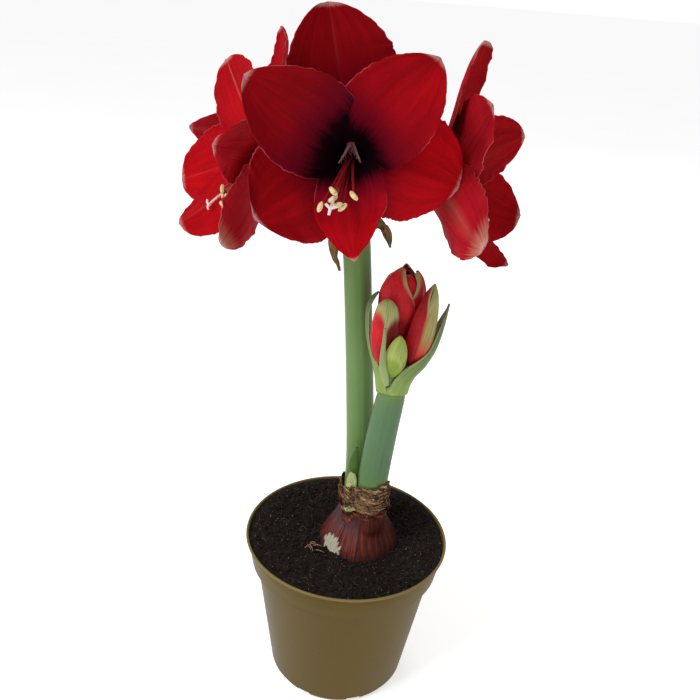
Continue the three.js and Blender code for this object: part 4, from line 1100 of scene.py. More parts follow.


# Each tepal: place round the throat, length, width, flare, curl, twist, cup at the tip, keel,
# where it is fullest, how blunt it ends. Then its finish: how deep its colour is, partly its own
# tone and partly painted light and shade, how far its dark throat reaches, partly painted shade,
# how pale the band and the crown of its outer face are, how creased its midrib is, and how far
# each margin lies over its neighbour.
BLOOMS = {
    "front": dict(
        throat=(-18, -10.5, 401.3), heading=2.5, rise=11.5, roll=0, reach=57, droop=1, sway=0,
        tepals=(
            tepal(SEPAL, 103, 94, 65.6, 82.7, 17, 17.3, 17.4, 0.11, 1.14, 0.56,
                  deep=0.74, reach=1.0, crease=0.06),
            tepal(SEPAL, 217, 78, 63, 79, -17.5, 1.8, 10.2, 0.18, 1.52, 0.65, deep=0.67, reach=1.0),
            tepal(SEPAL, 347, 74, 65.5, 93.7, 6.3, 28, -4.8, -0.25, 1.37, 0.48, deep=0.1, reach=0.9),
            tepal(PETAL, 51, 91, 54.2, 68, -1.4, 1.9, 24.4, 0, 1.16, 0.58,
                  deep=0.55, reach=0.9, over=(0, 3)),
            tepal(PETAL, 150, 95.8, 55.6, 64, 6.5, -12.4, 26.8, 0.07, 1.23, 0.64,
                  deep=0.74, reach=1.3, over=(-3, 0)),
            tepal(PETAL, 275.4, 79, 42.8, 69, 8.6, 33.2, 20.6, 0.12, 1.28, 0.81, deep=0.2, reach=1.3),
        ),
    ),
    "left": dict(
        throat=(-47.6, 22, 397.2), heading=-63.8, rise=-2, roll=-6, reach=54, droop=1.18, sway=8,
        tepals=(
            tepal(SEPAL, 116.7, 83.2, 46, 110.2, -37.7, -0.6, 29.1, -0.04, 1.04, 0.52,
                  bend_to=0.5, crease=0.1),
            tepal(SEPAL, 212, 97.2, 53.2, 59.6, -11.3, 2.7, 9.8, 0, 1.21, 0.45, deep=0.1, crease=0.1),
            tepal(SEPAL, 318, 92, 52, 52, -13.4, 49.5, 17, -0.1, 1.1, 0.63, band=0, crown=0.3, crease=0.1),
            tepal(PETAL, 23.6, 80.3, 50.3, 44.3, -48.7, -49, -4.7, -0.12, 1.26, 0.5, band=0),
            tepal(PETAL, 129, 76.8, 60, 79.4, 1.9, 18, 10.2, -0.02, 1.38, 0.53, crease=0.5),
            tepal(PETAL, 254.7, 93.8, 55.4, 47, -20.6, 9, -1.3, -0.17, 1.51, 0.47, deep=0.1, crease=0.15),
        ),
    ),
    "right": dict(
        throat=(15, 14.3, 390), heading=74, rise=0.9, roll=0, reach=50, droop=0.8, sway=0,
        tepals=(
            tepal(SEPAL, 94.3, 94, 34.3, 75.5, -15.6, -22.7, 43, 0, 1.19, 0.34, bend_to=0.5, tip_share=0.25,
                  deep=0.6, band=0.1, crown=0.5),
            tepal(SEPAL, 203, 93, 58, 57.3, -16.2, -27.5, 41, -0.2, 1.15, 0.59, band=0.5, crown=0.45),
            tepal(SEPAL, 328, 95.3, 55, 51.6, -29.4, -8, 5.2, -0.04, 1.4, 0.49, deep=0.5, band=0.2),
            tepal(PETAL, 21.8, 88.7, 48.6, 56.4, -12.6, -6.9, 10.7, -0.17, 1.18, 0.53, deep=0.6),
            tepal(PETAL, 129, 87.7, 52.3, 66.4, 5, 34.8, 22.2, -0.24, 1.2, 0.56, deep=0.65),
            tepal(PETAL, 271.3, 90, 40.7, 51.5, -32.2, 7, 5, -0.12, 1.3, 0.53, band=0.2),
        ),
    ),
    "back": dict(
        throat=(-40, 54, 388), heading=-158, rise=6, roll=0, reach=52, droop=0.9, sway=0,
        tepals=(
            tepal(SEPAL, 114, 76, 54, 62, 0, 0, 8, 0, 1.2, 0.6, band=0.4),
            tepal(SEPAL, 236, 84, 54, 70, -8, 6, 10, -0.1, 1.2, 0.6, band=0.4),
            tepal(SEPAL, 3.7, 96.6, 44.2, 83.8, -18.7, -26.2, 5.9, -0.11, 1.1, 0.67, band=0.3),
            tepal(PETAL, 56, 76, 54, 60, -10, -5, 14, -0.1, 1.3, 0.5),
            tepal(PETAL, 174, 80, 54, 62, 0, 8, 16, 0, 1.3, 0.5),
            tepal(PETAL, 294, 78, 44, 72, -12, 0, 14, -0.1, 1.3, 0.5),
        ),
    ),
}
ANTHERS = ((-9, -20.5), (-15.5, -29), (-9, -24.5), (-6.5, -27.5), (-3.5, -28.5), (2, -22))
STIGMA = (-10, -29)
STAMEN_STEPS, STYLE_STEPS, LOBE_STEPS = 15, 17, 5
ANTHER_LENGTH, ANTHER_GIRTH = 6.2, 2.9
MEMBRANE_STEPS, HAIR_STEPS = 30, 3
CUP = ((3.2, -9), (4.6, -8), (6.2, -4), (6.9, -1), (7.0, 2.4), (6.2, 3.4), (2.0, 1.0))
CUP_SIDES, CUP_RINGS_INSIDE = 48, 2


def turned(vector, axis, angle):
    return Matrix.Rotation(angle, 3, axis) @ vector


def bloom_axes(bloom):
    """Right and up as seen by someone facing the bloom, and the way out of its mouth."""
    heading, rise, roll = (math.radians(bloom[key]) for key in ("heading", "rise", "roll"))
    out = Vector((math.sin(heading) * math.cos(rise), -math.cos(heading) * math.cos(rise), math.sin(rise)))
    up = (Vector((0, 0, 1)) - out * out.z).normalized()
    right = up.cross(out)
    return turned(right, out, roll), turned(up, out, roll), out


def bloom_place(bloom):
    """Gives the place on the plant of a point in the bloom's own directions."""
    right, up, out = bloom_axes(bloom)
    throat = Vector(bloom["throat"])

    def place(point):
        return throat + right * point.x + up * point.y + out * point.z

    return place


def arc_row(centre, lateral, face, half_width, half_angle, columns, lift):
    """Points across a blade that is bent to an arc and lifted off it by lift(u), u from -1 to 1."""
    bend = half_angle if abs(half_angle) > 1e-3 else 1e-3
    row = []
    for j in range(columns + 1):
        u = 2 * j / columns - 1
        sideways = half_width * math.sin(bend * u) / bend
        forward = half_width * (1 - math.cos(bend * u)) / bend + lift(u)
        row.append(centre + lateral * sideways + face * forward)
    return row


def tepal_lift(shape, phases, ruffle, t, half_width):
    """How a tepal stands off its arc: keel, frilled margins, ribs, swells, groove and overlap."""
    def lift(u):
        side = 0 if u < 0 else 1
        wave = 0.65 * noise.noise(Vector((t * 7, phases[side], 0)))
        wave += 0.5 * noise.noise(Vector((t * 17, phases[side + 2], 5)))
        wave += 0.3 * noise.noise(Vector((t * 36, phases[side], 11)))
        keel = shape["keel"] * abs(u) * half_width * smooth(t / 0.5)
        frill = ruffle * abs(u) ** 4 * smooth((t - 0.25) / 0.3) * wave * 1.9
        ribs = 0.22 * math.cos(17 * u) * (1 - abs(u)) * smooth((t - 0.2) / 0.3)
        swell = 0.9 * noise.noise(Vector((u * 1.3, t * 2.6, phases[0]))) * smooth((t - 0.3) / 0.3)
        groove = -(0.55 + shape["crease"]) * math.exp(-((u / 0.06) ** 2)) * (1 - 0.5 * t)
        lap = shape["over"][side] * u * u * smooth((t - 0.15) / 0.2)
        return keel + frill + ribs + swell + groove + lap

    return lift


def tepal_rows(shape, chance):
    """The middle surface of a tepal in its bloom's own directions, with its ruffled margins."""
    angle = math.radians(shape["around"])
    outward = Vector((math.cos(angle), math.sin(angle), 0))
    sideways = Vector((-math.sin(angle), math.cos(angle), 0))
    phases = [chance.uniform(0, 10) for _ in range(4)]
    ruffle = chance.uniform(1.0, 1.7)
    half = shape["width"] / 2
    radius, height = shape["root_radius"], shape["root_lift"]
    steps = TEPAL_ROWS * STEPS_PER_ROW
    rows = []
    for step in range(steps + 1):
        t = step / steps
        opened = smooth((t - shape["bend_from"]) / (shape["bend_to"] - shape["bend_from"]))
        curled = max((t - CURL_FROM) / (1 - CURL_FROM), 0) ** 1.5
        slope = math.radians(lerp(shape["mouth"], shape["flare"], opened) + shape["curl"] * curled)
        if step % STEPS_PER_ROW == 0:
            outline = max(math.sin(math.pi * t ** shape["fullest"]), 0) ** shape["blunt"]
            root_half = radius * ROOT_SPAN * (1 - smooth((t - 0.1) / 0.3))
            room = radius * (ROOT_SPAN + 1.6 * smooth((t - 0.15) / 0.35))
            half_width = min(max(half * outline, root_half, half * shape["tip_share"]), room)
            free = smooth((t - 0.08) / 0.45)
            half_angle = lerp(min(half_width / radius, 1), math.radians(shape["cup_tip"]), free)
            face = outward * -math.cos(slope) + Vector((0, 0, math.sin(slope)))
            spin = sideways.cross(face)
            turn = math.radians(shape["twist"]) * t ** 1.3
            lateral, facing = turned(sideways, spin, turn), turned(face, spin, turn)
            lift = tepal_lift(shape, phases, ruffle, t, half_width)
            notch = noise.noise(Vector((t * 24, phases[1], 9)))
            notch += 0.7 * noise.noise(Vector((t * 55, phases[2], 3)))
            jag = 1 + 0.034 * notch * smooth((t - 0.3) / 0.2)
            centre = outward * radius + Vector((0, 0, height))
            rows.append(arc_row(centre, lateral, facing, half_width * jag, half_angle, TEPAL_COLUMNS, lift))
        radius += math.sin(slope) * shape["length"] / steps
        height += math.cos(slope) * shape["length"] / steps
    return rows


FINISH = ("deep", "reach", "band", "crown", "crease")


def tepal_material():
    """Crimson with darker veins and blotches, black-maroon in the throat with a painted purple sheen
    round it, paler on the outer face, with a pale band, crown, tip and margin where the tepal has them.
    The throat's darkness is partly its own colour and partly painted shade, and each tepal's depth of
    colour is partly painted light and shade."""
    material, tree, shader = new_material(
        "crimson_tepal", 0.6, Specular_IOR_Level=0.03, Subsurface_Weight=0.03,
    )
    across, length, outside = (value_at(tree, name) for name in ("across", "along", "outside"))
    deep, reach, band, crown, crease = (value_at(tree, name) for name in FINISH)
    aside = maths(tree, "ABSOLUTE", across)
    veins = long_veins(tree, 15.0, 1.3, 0.16)
    broad = long_veins(tree, 4.0, 1.4, 0.2)
    grain = mottle(tree, 700.0, detail=3.0)
    cloud = mottle(tree, 42.0, edge=0.2)
    # Each tepal's deep value is partly its own tone and partly painted light and shade.
    colour = blend(tree, deep, (0.57, 0.0025, 0.008), (0.19, 0.0012, 0.004))
    dark = blend(tree, deep, (0.3, 0.001, 0.004), (0.06, 0.0006, 0.0024))
    colour = tint(tree, colour, dark, cloud.mask, 0.45)
    colour = tint(tree, colour, dark, broad.mask, 0.55)
    colour = tint(tree, colour, dark, veins.mask, 0.3)
    line = ease(tree, aside, 0.05, 0.0)
    line = times(tree, line, times(tree, crease, ease(tree, length, 0.35, 0.85)))
    colour = tint(tree, colour, (0.62, 0.16, 0.15), line, 0.8)
    streaky = times_plus(tree, veins.height, 0.2, length)
    streaky = times_plus(tree, reach, -0.19, streaky)
    # Painted sheen: a dark purple band round the throat.
    sheen = ease(tree, streaky, 0.64, 0.26)
    colour = tint(tree, colour, (0.07, 0.001, 0.01), sheen, 0.82)
    # The throat is nearly black: partly its own colour, partly painted shade deep in the trumpet.
    throat = ease(tree, streaky, 0.36, 0.21)
    colour = blend(tree, throat, colour, (0.007, 0.0006, 0.0028))

    outer = blend(tree, cloud.mask, (0.25, 0.0025, 0.009), (0.39, 0.005, 0.013))
    outer = tint(tree, outer, (0.47, 0.015, 0.025), veins.mask, 0.2)
    middle = ease(tree, times_plus(tree, veins.height, 0.5, aside), 0.56, 0.2)
    middle = times(tree, middle, maths(tree, "POWER", band, 1.5))
    pale = blend(tree, veins.mask, (0.4, 0.1, 0.09), (0.5, 0.34, 0.22))
    outer = tint(tree, outer, pale, middle, 0.5)
    ending = ease(tree, times_plus(tree, veins.height, 0.16, length), 0.95, 1.08)
    outer = tint(tree, outer, (0.58, 0.36, 0.26), ending, crown)
    tube = ease(tree, length, 0.16, 0.02)
    outer = tint(tree, outer, (0.13, 0.1, 0.025), tube, 0.7)
    colour = blend(tree, outside, colour, outer)

    tip = ease(tree, times_plus(tree, veins.height, 0.04, length), 0.985, 1.015)
    colour = tint(tree, colour, (0.7, 0.36, 0.33), tip, 0.6)
    patchy = ease(tree, mottle(tree, 45.0, offset=6.0).height, 0.44, 0.6)
    margin = times(tree, ease(tree, aside, 0.98, 1.0), ease(tree, length, 0.3, 0.55))
    margin = times(tree, margin, patchy)
    colour = tint(tree, colour, (0.6, 0.12, 0.14), margin, 0.55)
    dress(tree, shader, colour, times_plus(tree, grain.height, 0.22, 0.5))
    bump(tree, shader, times_plus(tree, grain.height, 0.25, veins.height), 0.5, 0.8)
    return material


def strand_material(name, start, end, roughness=0.5):
    material, tree, shader = new_material(name, roughness, Subsurface_Weight=0.1)
    colour = blend(tree, value_at(tree, "along"), start, end)
    dark = [0.5 * part for part in start]
    dress(tree, shader, tint(tree, colour, dark, mottle(tree, 500.0).mask, 0.2))
    bump(tree, shader, mottle(tree, 900.0).height, 0.1)
    return material


def pollen_material():
    material, tree, shader = new_material("pollen_cream", 0.85)
    dust = mottle(tree, 1400.0, edge=0.2)
    colour = blend(tree, dust.mask, (0.66, 0.5, 0.2), (0.85, 0.74, 0.42))
    specks = ease(tree, mottle(tree, 800.0, offset=5.0).height, 0.58, 0.68)
    dress(tree, shader, tint(tree, colour, (0.3, 0.15, 0.04), specks, 0.7))
    bump(tree, shader, dust.height, 0.25)
    return material


def bezier(root, bend, tip, t):
    return root * (1 - t) ** 2 + bend * 2 * t * (1 - t) + tip * t * t


def anther_tree(material):
    """A curved bean on each point, as long as Length and turned by the point's "aim"."""
    tree, entry, leave = geometry_tree("anthers", {"Length": 1.0, "Girth": 0.4})
    bean = put(tree, "GeometryNodeMeshUVSphere", {"Segments": 16, "Rings": 12, "Radius": 0.5}).outputs[0]
    place = put(tree, "GeometryNodeInputPosition").outputs[0]
    x, _, z = put(tree, "ShaderNodeSeparateXYZ", {0: place}).outputs
    bow = times(tree, times(tree, z, z), 0.5)
    cleft = times(tree, ease(tree, maths(tree, "ABSOLUTE", x), 0.16, 0.0), 0.13)
    drop = put(tree, "ShaderNodeCombineXYZ", {1: maths(tree, "SUBTRACT", bow, cleft)}).outputs[0]
    shaped = put(tree, "GeometryNodeSetPosition", {"Geometry": bean, "Offset": drop}).outputs[0]
    aim = put(tree, "GeometryNodeInputNamedAttribute", {"Name": "aim"}, data_type="FLOAT_VECTOR")
    turn = put(tree, "FunctionNodeAlignRotationToVector", {"Vector": aim.outputs[0]}, axis="Z").outputs[0]
    girth, length = entry.outputs["Girth"], entry.outputs["Length"]
    size = put(tree, "ShaderNodeCombineXYZ", {0: girth, 1: girth, 2: length}).outputs[0]
    beans = put(tree, "GeometryNodeInstanceOnPoints", {
        "Points": entry.outputs[0], "Instance": shaped, "Rotation": turn, "Scale": size,
    }).outputs[0]
    finish_tree(tree, leave, beans, material)
    return tree


def arching(place, root, tip, steps, start, end):
    """A path from root to tip that arches outward, as thick as start at its root and end at its tip."""
    bend = Vector((tip.x * 0.3, tip.y * 0.35, tip.z * 0.6))
    return [(place(bezier(root, bend, tip, i / steps)), lerp(start, end, i / steps))
            for i in range(steps + 1)]


def make_stamens(name, bloom, place, chance, filament, pollen):
    """Six filaments from a ring in the throat, each with an anther across its tip."""
    paths, tips, aims = [], [], []
    for k, (right, up) in enumerate(ANTHERS):
        angle = math.radians(30 + 60 * k)
        root = Vector((2.4 * math.cos(angle), 2.4 * math.sin(angle), 1.2))
        reach = bloom["reach"] + 3 * (chance.random() - 0.5)
        tip = Vector((right + bloom["sway"], up * bloom["droop"], reach))
        paths.append(arching(place, root, tip, STAMEN_STEPS, 1.05, 0.6))
        tips.append(paths[-1][-1][0])
        spin = chance.uniform(-1.3, 1.3)
        lean = place(tip + Vector((math.cos(spin), math.sin(spin), 0.2))) - place(tip)
        aims.extend(lean.normalized())
    values = {"along": [i / STAMEN_STEPS for _ in paths for i in range(STAMEN_STEPS + 1)]}
    settle(strands(f"{name}_filaments", paths, filament, 8, values), "tepal_red", name)

    beans = grow(f"{name}_anthers", (tips, []), pollen)
    beans.data.attributes.new("aim", "FLOAT_VECTOR", "POINT").data.foreach_set("vector", aims)
    worked_by(beans, anther_tree(pollen), Length=ANTHER_LENGTH * MM, Girth=ANTHER_GIRTH * MM)
    settle(beans, "pale_scale", name)


def make_style(name, bloom, place, skin):
    """The style, longer than the stamens, white at its end, with three lobes."""
    tip = Vector((STIGMA[0] + bloom["sway"], STIGMA[1] * bloom["droop"], bloom["reach"] + 8))
    paths = [arching(place, Vector((0, 0, 0.8)), tip, STYLE_STEPS, 1.0, 0.75)]
    values = [smooth((i / STYLE_STEPS - 0.7) / 0.3) for i in range(STYLE_STEPS + 1)]
    for k in range(3):
        angle = math.radians(20 + 120 * k)
        lobe = []
        for i in range(LOBE_STEPS + 1):
            share = i / LOBE_STEPS
            spread, rise = 3.4 * share, 1.6 * share * (1.1 - share)
            aside = Vector((spread * math.cos(angle), spread * math.sin(angle), rise))
            lobe.append((place(tip + aside), lerp(0.95, 0.75, share)))
        paths.append(lobe)
        values += [1.0] * len(lobe)
    settle(strands(f"{name}_style", paths, skin, 10, {"along": values}), "pale_scale", name)


def make_membranes(name, bloom, place, chance, skin):
    """Two narrow ragged flaps that hang in the throat, with hairs along one margin."""
    membranes, hairs, values = [], [], []
    for side in (-1, 1):
        lateral = Vector((side * 0.9, 0.44, 0.25))
        rows = []
        for i in range(MEMBRANE_STEPS + 1):
            t = i / MEMBRANE_STEPS
            spot = Vector((side * (0.4 + 8.2 * t ** 1.2), 8 - 17 * t, 13 + 3 * math.sin(math.pi * t)))
            width = lerp(1.0, 0.35, t) * (1 + 0.5 * noise.noise(spot * 0.9))
            fold = 0.7 * noise.noise(spot * 0.7 + Vector((0, 0, bloom["heading"])))
            row = []
            for u in (-1, -0.5, 0, 0.5, 1):
                row.append(place(spot + lateral * (width * u) + Vector((0, 0, fold * abs(u)))))
            rows.append(row)
            if i % 2 == 0:
                length, stray = chance.uniform(1.5, 4), chance.uniform(-0.6, 0.6) + side * 1.6 * t * t
                root = spot - lateral * width * 0.8
                hair = []
                for step in range(HAIR_STEPS + 1):
                    share = step / HAIR_STEPS
                    droop = Vector((-side * 0.5 + stray, -0.8, 0.3 + 0.5 * share)) * (length * share)
                    hair.append((place(root + droop), lerp(0.28, 0.1, share)))
                    values.append(share)
                hairs.append(hair)
        membranes.append(blade_solid(rows, 0.5))
    settle(grow(f"{name}_membrane", join_solids(membranes), skin), "pale_scale", name)
    settle(strands(f"{name}_fringe", hairs, skin, 5, {"along": values}), "pale_scale", name)


def tepal_solid(shape, place, chance):
    rows = [[place(point) for point in row] for row in tepal_rows(shape, chance)]
    points, faces, values = blade_solid(rows, TEPAL_THICK)
    values.update({key: [shape[key]] * len(points) for key in FINISH})
    return points, faces, values


def cup_solid(place):
    """The short tube in which the tepals join, closed at its back and at the throat's floor."""
    cup = [[place(Vector(point)) for point in ring((0, 0), radius, z, CUP_SIDES)] for radius, z in CUP]
    points, faces = loft(cup, place(Vector((0, 0, -9.2))), place(Vector((0, 0, 1.0))))
    inside = CUP_SIDES * CUP_RINGS_INSIDE
    values = {key: [0.0] * len(points) for key in ("along", *FINISH)}
    values["across"] = [0.5] * len(points)
    values["outside"] = [1.0] * (CUP_SIDES * len(CUP) - inside) + [0.0] * inside + [1.0, 0.0]
    return points, faces, values


def make_blooms():
    skin = tepal_material()
    filament = strand_material("red_filament", (0.17, 0.002, 0.007), (0.32, 0.006, 0.014))
    pollen = pollen_material()
    style_skin = strand_material("style_white", (0.4, 0.01, 0.02), (0.85, 0.76, 0.7))
    fringe_skin = strand_material("throat_fringe", (0.4, 0.07, 0.09), (0.7, 0.4, 0.38))
    for number, (key, bloom) in enumerate(BLOOMS.items()):
        chance = random.Random(31 + number)
        place = bloom_place(bloom)
        solids = [tepal_solid(shape, place, chance) for shape in bloom["tepals"]]
        solids.append(cup_solid(place))
        name = f"bloom_{key}"
        settle(grow(f"{name}_tepals", join_solids(solids), skin), "tepal_red", name)
        make_stamens(name, bloom, place, chance, filament, pollen)
        make_style(name, bloom, place, style_skin)
        make_membranes(name, bloom, place, chance, fringe_skin)


make_blooms()


# ---------------------------------------------------------------- tall scape and pedicels
# The stem that carries the umbel. From its top four pedicels arch outward, each swelling into
# a three-ribbed ovary just behind its bloom.
TUBE_BACK = -9.35
UMBEL_TOP = Vector((-11, 18, 344))
PEDICEL_RADII = (4.4, 3.9, 3.7, 3.7, 3.8, 4.4, 5.6, 5.9, 5.2, 3.9)
PEDICEL_STEPS, PEDICEL_SIDES = 44, 36


def across_axes(direction):
    """Two unit vectors across a direction, the first as near +X as it can."""
    second = direction.cross(Vector((1, 0, 0)))
    if second.length < 0.2:
        second = direction.cross(Vector((0, 1, 0)))
    second.normalize()
    return second.cross(direction).normalized(), second


def pedicel_solid(bloom):
    """A flower stalk from the umbel to the back of its bloom, with the ribbed ovary at its end."""
    out = bloom_axes(bloom)[2]
    end = Vector(bloom["throat"]) + out * TUBE_BACK
    lean = Vector((end.x - UMBEL_TOP.x, end.y - UMBEL_TOP.y, 0)).normalized()
    corners = (UMBEL_TOP, UMBEL_TOP + lean * 9 + Vector((0, 0, 18)), end - out * 20, end)
    rings, values = [], {"across": [], "along": []}
    for i in range(PEDICEL_STEPS + 1):
        t = i / PEDICEL_STEPS
        shares = ((1 - t) ** 3, 3 * t * (1 - t) ** 2, 3 * t * t * (1 - t), t ** 3)
        centre = sum((corner * share for corner, share in zip(corners, shares)), Vector())
        slopes = (-3 * (1 - t) ** 2, 3 * (1 - t) * (1 - 3 * t), 3 * t * (2 - 3 * t), 3 * t * t)
        tangent = sum((corner * share for corner, share in zip(corners, slopes)), Vector()).normalized()
        first, second = across_axes(tangent)
        lobes = 0.09 * smooth((t - 0.5) / 0.2)
        row = []
        for k in range(PEDICEL_SIDES):
            angle = 2 * math.pi * k / PEDICEL_SIDES
            radius = along(PEDICEL_RADII, t) * (1 + lobes * math.cos(3 * angle))
            row.append(centre + (first * math.cos(angle) + second * math.sin(angle)) * radius)
            values["across"].append(abs(2 * k / PEDICEL_SIDES - 1) * 2)
            values["along"].append(0.7 + 0.3 * t)
        rings.append(row)
    for numbers in values.values():
        numbers += [0.5, 1.0]
    return (*loft(rings, UMBEL_TOP, end), values)


def make_tall_scape():
    green = stem_material(
        "bright_stem", (0.15, 0.27, 0.08), (0.1, 0.19, 0.04), (0.085, 0.17, 0.035),
        (0.2, 0.32, 0.14), 0.4,
    )
    settle(grow("tall_stem", stem_solid(TALL_SCAPE), green), "stem_green", "scape_tall")
    pedicels = join_solids([pedicel_solid(bloom) for bloom in BLOOMS.values()])
    settle(grow("pedicels", pedicels, green), "stem_green", "scape_tall")


make_tall_scape()


# ---------------------------------------------------------------- dry bracts, leaf and scale
# Two brown papery bracts hang where the umbel's spathe withered. At the neck a green leaf tip
# and a pale inner scale push up beside the stems.
BRACTS = {
    "bract_left": dict(
        spine=((-21.6, 15, 347), (-25, 10.6, 345.6), (-25, 7.4, 335), (-19.8, 6.4, 322.4)),
        half_widths=(3.4, 5, 5.2, 4.4, 2.6, 0.6), cup=(60, 60, 50, 70), face=(0.5, 1, 0), turn=(0, -10, 20),
    ),
    "bract_right": dict(
        spine=((0, 17.2, 350.6), (6.4, 14.6, 354.6), (10.2, 12.8, 349), (12.4, 12.2, 339.4)),
        half_widths=(3.8, 5.8, 5.8, 4.2, 0.6), cup=(60, 60, 50, 70), face=(-1, 0, -0.4), turn=(0, -30, -60),
    ),
}
LEAF = dict(
    spine=((-1.2, 2.8, 150.2), (-0.2, 2.6, 170), (2.4, 2.4, 192)), half_widths=(4.2, 4.6, 4.6, 3.4, 0.8),
    cup=(38, 30, 18), face=(0.5, 1, 0), thickness=1.8,
)
SCALE = dict(
    spine=((0.2, -1.2, 150.2), (0, -1.8, 161), (0.4, -2.6, 173.5)), half_widths=(4.2, 4.6, 4.8, 4.4, 2.4),
    cup=(30, 26, 20), face=(0.6, 1, 0),
)
BLADE_ROWS, BLADE_COLUMNS = 56, 24


def blade(spine, half_widths, cup, face, turn=(0, 0), thickness=0.9, rumple=0.0):
    """A leaf-like blade along a curve; face is the side that its hollow looks to."""
    points = [Vector(point) for point in spine]
    grid = []
    for i in range(BLADE_ROWS + 1):
        t = i / BLADE_ROWS
        tangent = curve_tangent(points, t)
        inner = Vector(face)
        inner = (inner - tangent * inner.dot(tangent)).normalized()
        inner = turned(inner, tangent, math.radians(along(turn, t)))
        lateral = inner.cross(tangent)
        half_width = soft_along(half_widths, t)

        def lift(u, t=t):
            return rumple * noise.noise(Vector((u * 2.2, t * 6, spine[0][0])))

        half_angle = math.radians(soft_along(cup, t))
        centre = curve_point(points, t)
        grid.append(arc_row(centre, lateral, inner, half_width, half_angle, BLADE_COLUMNS, lift))
    return blade_solid(grid, thickness)


def soft_along(row, share):
    """Value of a row of numbers at a share of its length, by a smooth curve through them. They
    are set a hair apart, because the curve can't pass two equal ones."""
    return curve_point([Vector((number + 1e-4 * i, 0, 0)) for i, number in enumerate(row)], share).x


def plain_leaf_material(name, low, high, rib, inside=None, veins=16.0, roughness=0.45):
    """Leaf flesh that turns from low to high along it, with ribs and, if given, a darker inside."""
    material, tree, shader = new_material(name, roughness, Specular_IOR_Level=0.2, Subsurface_Weight=0.05)
    across, length = value_at(tree, "across"), value_at(tree, "along")
    lines = long_veins(tree, veins, 1.2, 0.12)
    cloud = mottle(tree, 70.0)
    shade = times_plus(tree, cloud.height, 0.4, maths(tree, "SUBTRACT", length, 0.2))
    colour = blend(tree, ease(tree, shade, 0.0, 0.9), low, high)
    colour = tint(tree, colour, rib, lines.mask, 0.3)
    if inside:
        colour = blend(tree, maths(tree, "SUBTRACT", 1.0, value_at(tree, "outside")), colour, inside)
    margin = ease(tree, maths(tree, "ABSOLUTE", across), 0.86, 0.97)
    colour = tint(tree, colour, rib, margin, 0.7)
    dress(tree, shader, colour, times_plus(tree, cloud.height, 0.25, roughness - 0.1))
    bump(tree, shader, lines.height, 0.3, 0.7)
    return material


def bract_material():
    """Dry brown paper with long dark streaks and paler veins between them."""
    material, tree, shader = new_material("dry_bract", 0.75, Specular_IOR_Level=0.2)
    streaks = long_veins(tree, 4.0, 1.4, 0.14)
    veins = long_veins(tree, 20.0, 2.0, 0.12)
    fleck = mottle(tree, 300.0)
    colour = blend(tree, streaks.mask, (0.045, 0.021, 0.007), (0.29, 0.165, 0.045))
    colour = tint(tree, colour, (0.46, 0.34, 0.15), veins.mask, 0.35)
    colour = tint(tree, colour, (0.035, 0.018, 0.008), fleck.mask, 0.25)
    dress(tree, shader, colour, times_plus(tree, fleck.height, 0.25, 0.6))
    bump(tree, shader, veins.height, 0.6)
    return material


def make_small_blades():
    brown = bract_material()
    for name, shape in BRACTS.items():
        settle(grow(f"dry_{name}", blade(**shape, thickness=0.7, rumple=1.6), brown), "dry_bract", name)
    fresh = plain_leaf_material("fresh_leaf", (0.11, 0.24, 0.035), (0.03, 0.1, 0.012), (0.1, 0.2, 0.04))
    settle(grow("leaf_tip", blade(**LEAF), fresh), "leaf", "leaf_shoot")
    pale = plain_leaf_material("pale_scale", (0.62, 0.62, 0.3), (0.42, 0.5, 0.2), (0.2, 0.14, 0.05))
    settle(grow("inner_scale", blade(**SCALE, rumple=0.8), pale), "pale_scale", "bulb_scale")


make_small_blades()


# ---------------------------------------------------------------- short scape and buds
# The second stem ends in a pale collar. Four buds stand on it: a fat one that is opening, two
# slim red ones with green tips, and a small green one in front.
CLUSTER_BASE = Vector((23, -6.5, 246))
OVOID = (0.42, 0.68, 0.87, 0.97, 1, 0.98, 0.93, 0.84, 0.68, 0.4)
POINTED = (0.42, 0.7, 0.9, 1, 1, 0.94, 0.84, 0.68, 0.46, 0.16)
OPENING = (0.28, 0.36, 0.46, 0.58, 0.73, 0.88, 0.99, 1, 0.96, 0.8, 0.46)


def bud_leaf(turn, half_angle=68, reach=1.0, close=0.1, pinch=0.25, scale=1.0,
             cap=0.75, band=0.0, dark=0.0):
    """One tepal of a bud: its place round the axis, its reach up it, how far its tip closes in
    and narrows, where its green cap starts, how pale its middle band is and how dark its flesh."""
    return dict(turn=turn, half_angle=half_angle, reach=reach, close=close, pinch=pinch, scale=scale,
                cap=cap, band=band, dark=dark)


